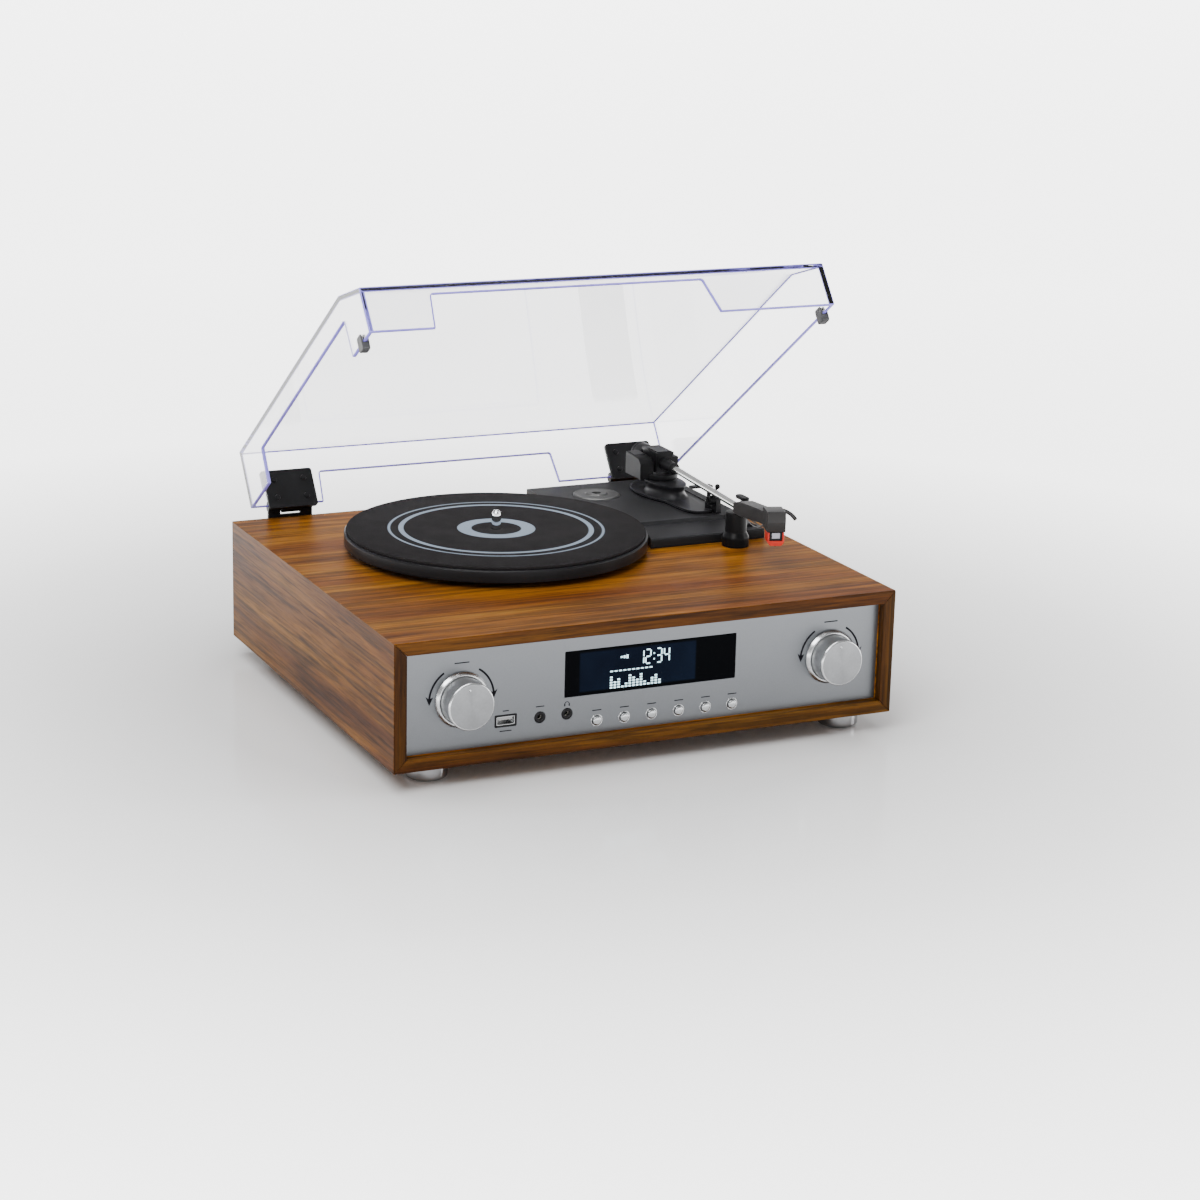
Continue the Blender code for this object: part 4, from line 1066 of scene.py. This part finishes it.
def build_head():
    x, y = HEAD
    neck = [(149.5, 27.8), (149.5, 35.2), (147.5, 36.4), (139, 38.6), (112, 40.0), (99, 40.0),
            (99, 31.0), (122, 28.6), (136, 27.6)]
    beam = prism(on_deck(neck), "X", 332.6, 343.8, 0.6)
    head_side = [(y - 10, 28.3), (y - 10.6, 36), (y - 9.6, 43.4), (y - 8.6, 43.8), (y + 9.6, 43.4),
                 (y + 10.2, 42.4), (y + 10, 28.3)]
    head = turn_head(prism(on_deck(head_side), "X", x - 7.0, x + 7.0, 0.5))
    piece("headshell_body", joined(beam, head), "charcoal", "arm", "headshell", bevel=0.45)
    finger = [(341.5, 94.6, 42.0), (344.8, 93.2, 42.2), (348.3, 90.2, 40.6), (350.3, 87.0, 38.6),
              (351.0, 84.4, 36.4)]
    piece("finger_lift", rod([(a, b, TOP + c) for a, b, c in finger], 1.5, 5, True), "charcoal", "arm")

    body = turn_head(block((x - 4.6, y - 9, TOP + 21.8), (x + 4.6, y + 6, TOP + 28.1)))
    piece("cartridge_body", body, "gloss", "arm", "cartridge", bevel=0.3)
    badge = turn_head(block((x - 3.0, y - 9.25, TOP + 23.4), (x + 3.0, y - 8.8, TOP + 27.6)))
    piece("cartridge_insert", badge, "insert", "arm", bevel=0.15)
    guard = [(6.3, 28.0), (6.3, 20.4), (4.6, 18.2), (3.2, 17.8), (-3.2, 17.8), (-4.6, 18.2), (-6.3, 20.4),
             (-6.3, 28.0), (-4.9, 28.0), (-4.9, 21.5), (4.9, 21.5), (4.9, 28.0)]
    shell = turn_head(prism([(x + u, TOP + z) for u, z in guard], "Y", y - 9.6, y + 2, 0.5))
    piece("stylus_guard", shell, "red", "arm", "stylus", bevel=0.25)
    tip = turn_head(turned(on_deck([(0, 18.6), (0.7, 18.6), (0.35, 16.9), (0, 16.9)]), "Z", (x, y - 7.5),
                           0.1, 24))
    piece("stylus_tip", tip, "contact", "arm")
    for index in range(4):
        side = x - 4.2 + index * 2.4
        sag = 24.4 + 1.3 * (index % 2)
        path = [(side + 1.2, 131.0, TOP + 28.6), (side + 1.0, 127.0, TOP + sag + 1.2),
                (side + 0.4, 116.0, TOP + sag), (side - 0.4, 106.0, TOP + 26.2),
                (side - 0.2, 102.2, TOP + 29.4)]
        piece("lead_wire_%d" % (index + 1), rod(path, 0.4, 3, True), "wire", "arm")


def build_cue_and_rest():
    stem = turned(on_deck(rectangle(0, 30.3, 1.6, 16)), "Z", CUE_TUBE, 0.2, 32)
    bar = prism(rectangle(334, TOP + 29.4, 352.5, TOP + 31), "Y", 221.5, 227.5, 0.6)
    piece("cue_platform_bar", joined(stem, bar), "black", "cue_platform", "cue_platform", bevel=0.4)
    hub = turned(rectangle(1.5, 349.6, 3.8, 344.6), "X", (214, TOP + 21), 0.4, 48)
    lean = math.atan2(13.5, -10.5)
    root = (347, 214 + 2.6 * math.cos(lean), TOP + 21 + 2.6 * math.sin(lean))
    lever = joined(hub, rod([root, (347, 203.5, TOP + 34.5)], 1.0, 5), ball(deck(347, 203.5, 34.5), 2.1))
    piece("cue_lever_arm", lever, "black", "cue_lever", "cue_lever")

    profile = [(0, 26.9), (7.8, 26.9), (8.4, 26.3), (8.4, 11.5), (9.9, 8.5), (10.4, 7.4), (10.4, 0.3),
               (0, 0.3)]
    post = turned(on_deck(profile), "Z", ARM_REST, 0.4)
    ear = prism(rectangle(341.8, 150.5, 348.4, 156.5), "Z", TOP + 22, TOP + 34.6, 1.5)
    rest = carved(joined(post, ear), drill(1.5, TOP + 28, TOP + 40, "Z", (345.2, 153.5)))
    piece("arm_rest_post", rest, "black", "cabinet", "arm_rest", bevel=0.3)
    bar = arc((345.2, 153.5), 3.0, 180, 360, 16) + arc((345.2, 163.0), 3.0, 0, 180, 16)
    latch = joined(prism(bar, "Z", TOP + 35.0, TOP + 37.6),
                   drill(1.2, TOP + 29, TOP + 36, "Z", (345.2, 153.5)))
    piece("arm_clip_latch", latch, "black", "arm_clip", "arm_clip", bevel=0.6)


# ---------------------------------------------------------------- lid

LID_X = (14.5, 378.0)
LID_FRONT = 28.4
LID_BACK = 351.9
LID_RIM = 98.75
LID_TOP = 147.25
LID_WALL = 3.0


def lid_outline(inset, rim):
    return [(LID_FRONT + inset, rim), (LID_FRONT + 1.5 + inset * 0.95, LID_TOP - 14 - inset * 0.75),
            (LID_FRONT + 43.4 + inset * 0.2, LID_TOP - inset), (LID_BACK - inset, LID_TOP - inset),
            (LID_BACK - inset, rim)]


def is_sawn(face):
    """Whether a face of the shut lid is its lower rim or the side of a cut-out, and not a panel."""
    middle = face.center
    if middle.z > at(0, 0, LID_RIM + 32).z:
        return False
    inside_x = at(LID_X[0] + 4, 0, 0).x < middle.x < at(LID_X[1] - 4, 0, 0).x
    inside_y = at(0, LID_FRONT + 4, 0).y < middle.y < at(0, LID_BACK - 4, 0).y
    sideways = inside_x and abs(face.normal.x) > 0.5
    lengthways = inside_y and abs(face.normal.y) > 0.5
    return face.normal.z < -0.9 or sideways or lengthways


def build_lid():
    outer = prism(lid_outline(0, LID_RIM), "X", *LID_X)
    inner = prism(lid_outline(LID_WALL, LID_RIM - 5), "X", LID_X[0] + LID_WALL, LID_X[1] - LID_WALL)
    below = LID_RIM - 5
    front = prism([(63, below), (66, LID_RIM + 26.5), (276, LID_RIM + 26.5), (286, below)], "Y",
                  LID_FRONT - 5, LID_FRONT + 12, 1.5)
    side = prism([(70, below), (72, LID_RIM + 28.5), (298, LID_RIM + 28.5), (300, below)], "X",
                 LID_X[0] - 5, LID_X[0] + 10, 1.5)
    back = prism([(74, below), (76, LID_RIM + 25.5), (275, LID_RIM + 25.5), (278, below)], "Y",
                 LID_BACK - 10, LID_BACK + 5, 1.5)
    shell = carved(outer, inner, front, side, back)
    for face in shell.polygons:
        if is_sawn(face):
            face.material_index = 1
    lid = piece("lid_acrylic", open_lid(shell), ["acrylic", "acrylic_edge"], "lid", "lid", "acrylic",
                0.9, 2)
    # The bevels, like the sawn rim faces, take the painted violet glow
    lid.modifiers["Edges"].material = 1
    for name, x in (("left", LID_X[0] + LID_WALL / 2), ("right", LID_X[1] - LID_WALL / 2)):
        clip = prism(rectangle(43, TOP + 0.4, 52, TOP + 12.0), "X", x - 2.9, x + 2.9, 2.2)
        slot_cut = block((x - 1.8, 30, LID_RIM - 0.3), (x + 1.8, 65, TOP + 30))
        piece("lid_bumper_%s_clip" % name, open_lid(carved(clip, slot_cut)), "bumper", "lid",
              "lid_bumper_" + name, bevel=0.5)
    for name, x in HINGE_PLACES.items():
        build_hinge(name, x)


def build_hinge(name, x):
    plate = prism(rectangle(x - 18, 62, x + 18, 94.6), "Y", DEPTH + 0.3, DEPTH + 3, 3.0)
    shapes = []
    for side in (-1, 1):
        inner, outer = sorted((x + side * 8.3, x + side * 18))
        shapes.append(block((inner, DEPTH + 0.3, 88), (outer, DEPTH + 3, HINGE[1])))
        shapes.append(turned(rectangle(0, outer, 4.0, inner), "X", HINGE, 0.5, 64))
    shapes.append(turned(rectangle(0, x + 12, 1.5, x - 12), "X", HINGE, 0.05, 32))
    piece("hinge_base_%s_body" % name, joined(plate, *shapes), "black", "cabinet", "hinge_base_" + name,
          bevel=0.3)
    screws = [screw_head(x + side * 11, DEPTH + 3, z, 2.6) for side in (-1, 1) for z in (70, 82)]
    piece("hinge_base_%s_screws" % name, together(*screws), "steel", "cabinet")

    plate = prism(rectangle(x - 20, 95.4, x + 20, 127), "Y", 345.6, 348.6, 2.5)
    foot = block((x - 8, 346.5, 95.4), (x + 8, HINGE[0], 98.4))
    knuckle = turned(rectangle(0, x + 8, 4.0, x - 8), "X", HINGE, 0.4, 64)
    leaf = carved(joined(plate, foot, knuckle), drill(1.8, x - 15, x + 15, "X", HINGE, 32))
    piece("hinge_leaf_%s_body" % name, open_lid(leaf), "black", "lid", "hinge_leaf_" + name, bevel=0.4)
    dots = [turned([(0, 345.7), (2.4, 345.7), (2.0, 344.7), (0, 344.5)], "Y", (x + side * 12, z), 0.2, 32)
            for side in (-1, 1) for z in (104, 119)]
    piece("hinge_leaf_%s_screws" % name, open_lid(together(*dots)), "black", "lid")


# ---------------------------------------------------------------- studio

CAMERA_PLACE = (-653.8, -1703.8, 646.4)
CAMERA_YAW = math.radians(25.305)
CAMERA_PITCH = math.radians(15.915)
CAMERA_ROLL = math.radians(1.423)


def build_camera():
    forward = Vector((math.sin(CAMERA_YAW) * math.cos(CAMERA_PITCH),
                      math.cos(CAMERA_YAW) * math.cos(CAMERA_PITCH),
                      -math.sin(CAMERA_PITCH)))
    right = Vector((math.cos(CAMERA_YAW), -math.sin(CAMERA_YAW), 0.0))
    up = right.cross(forward)
    right_rolled = right * math.cos(CAMERA_ROLL) + up * math.sin(CAMERA_ROLL)
    up_rolled = up * math.cos(CAMERA_ROLL) - right * math.sin(CAMERA_ROLL)
    data = bpy.data.cameras.new("camera")
    data.lens = 84.98
    data.sensor_width = 36.0
    data.clip_end = 50.0
    camera = new_object("camera", data)
    rotation = Matrix((right_rolled, up_rolled, -forward)).transposed().to_4x4()
    camera.matrix_world = Matrix.Translation(at(*CAMERA_PLACE)) @ rotation
    bpy.context.scene.camera = camera


def softbox(name, place, target, size, power, colour=(1.0, 1.0, 1.0)):
    data = bpy.data.lights.new(name, "AREA")
    data.shape = "RECTANGLE"
    data.size, data.size_y = size
    data.energy = power
    data.color = colour
    lamp = new_object(name, data)
    lamp.location = place
    lamp.rotation_euler = (Vector(target) - Vector(place)).to_track_quat("-Z", "Y").to_euler()


def build_studio():
    material, tree, shader = new_material("studio_floor")
    cloud = noise(tree, coordinates(tree), 1.5, 2.0)
    paint(tree, shader, ramp(tree, cloud, [(0.3, (0.83, 0.83, 0.83)), (0.7, (0.85, 0.85, 0.85))]),
          spread(tree, cloud, 0.10, 0.13))
    shader.inputs["Emission Color"].default_value = (1.0, 1.0, 1.0, 1.0)
    place = tree.nodes.new("ShaderNodeTexCoord")
    length = tree.nodes.new("ShaderNodeVectorMath")
    length.operation = "LENGTH"
    tree.links.new(place.outputs["Object"], length.inputs[0])
    # The floor glows at FLOOR_GLOW far off, less within about a metre of the turntable and not at all
    # within a quarter metre: painted shade round the object, so that its shadow and reflection show there
    glow = ramp(tree, maths(tree, "DIVIDE", length.outputs["Value"], 2.0),
                [(0.13, 0.0), (0.24, 0.22), (0.45, 0.80), (1.0, 1.0)])
    tree.links.new(maths(tree, "MULTIPLY", glow, FLOOR_GLOW), shader.inputs["Emission Strength"])
    work = bmesh.new()
    bmesh.ops.create_grid(work, x_segments=8, y_segments=8, size=12.0)
    floor = new_object("studio_floor", from_bmesh(work, "floor"))
    floor.data.materials.append(material)

    world = bpy.data.worlds.new("studio")
    world.use_nodes = True
    sky = world.node_tree.nodes["Background"]
    sky.inputs["Color"].default_value = (1.0, 1.0, 1.0, 1.0)
    direction = world.node_tree.nodes.new("ShaderNodeTexCoord")
    parts = world.node_tree.nodes.new("ShaderNodeSeparateXYZ")
    world.node_tree.links.new(direction.outputs["Generated"], parts.inputs["Vector"])
    fall = ramp(world.node_tree, parts.outputs["Z"], [(0.0, 1.0), (0.05, 0.72), (0.16, 0.22), (0.5, 0.16)])
    world.node_tree.links.new(maths(world.node_tree, "MULTIPLY", fall, SKY_GLOW), sky.inputs["Strength"])
    bpy.context.scene.world = world
    softbox("key", (-1.3, -1.2, 1.9), (0, 0, 0.1), (1.4, 1.0), 45)
    softbox("top", (-0.3, 0.1, 2.4), (0, 0, 0.1), (1.6, 1.6), 40)
    softbox("side", (1.9, -0.7, 0.9), (0, 0, 0.1), (0.8, 1.2), 14)


build_camera()
build_studio()
build_cabinet()
build_fascia()
build_display()
build_knobs()
build_buttons()
build_sockets()
build_inside()
build_platter()
build_deck()
build_arm_base()
build_arm()
build_cue_and_rest()
build_lid()
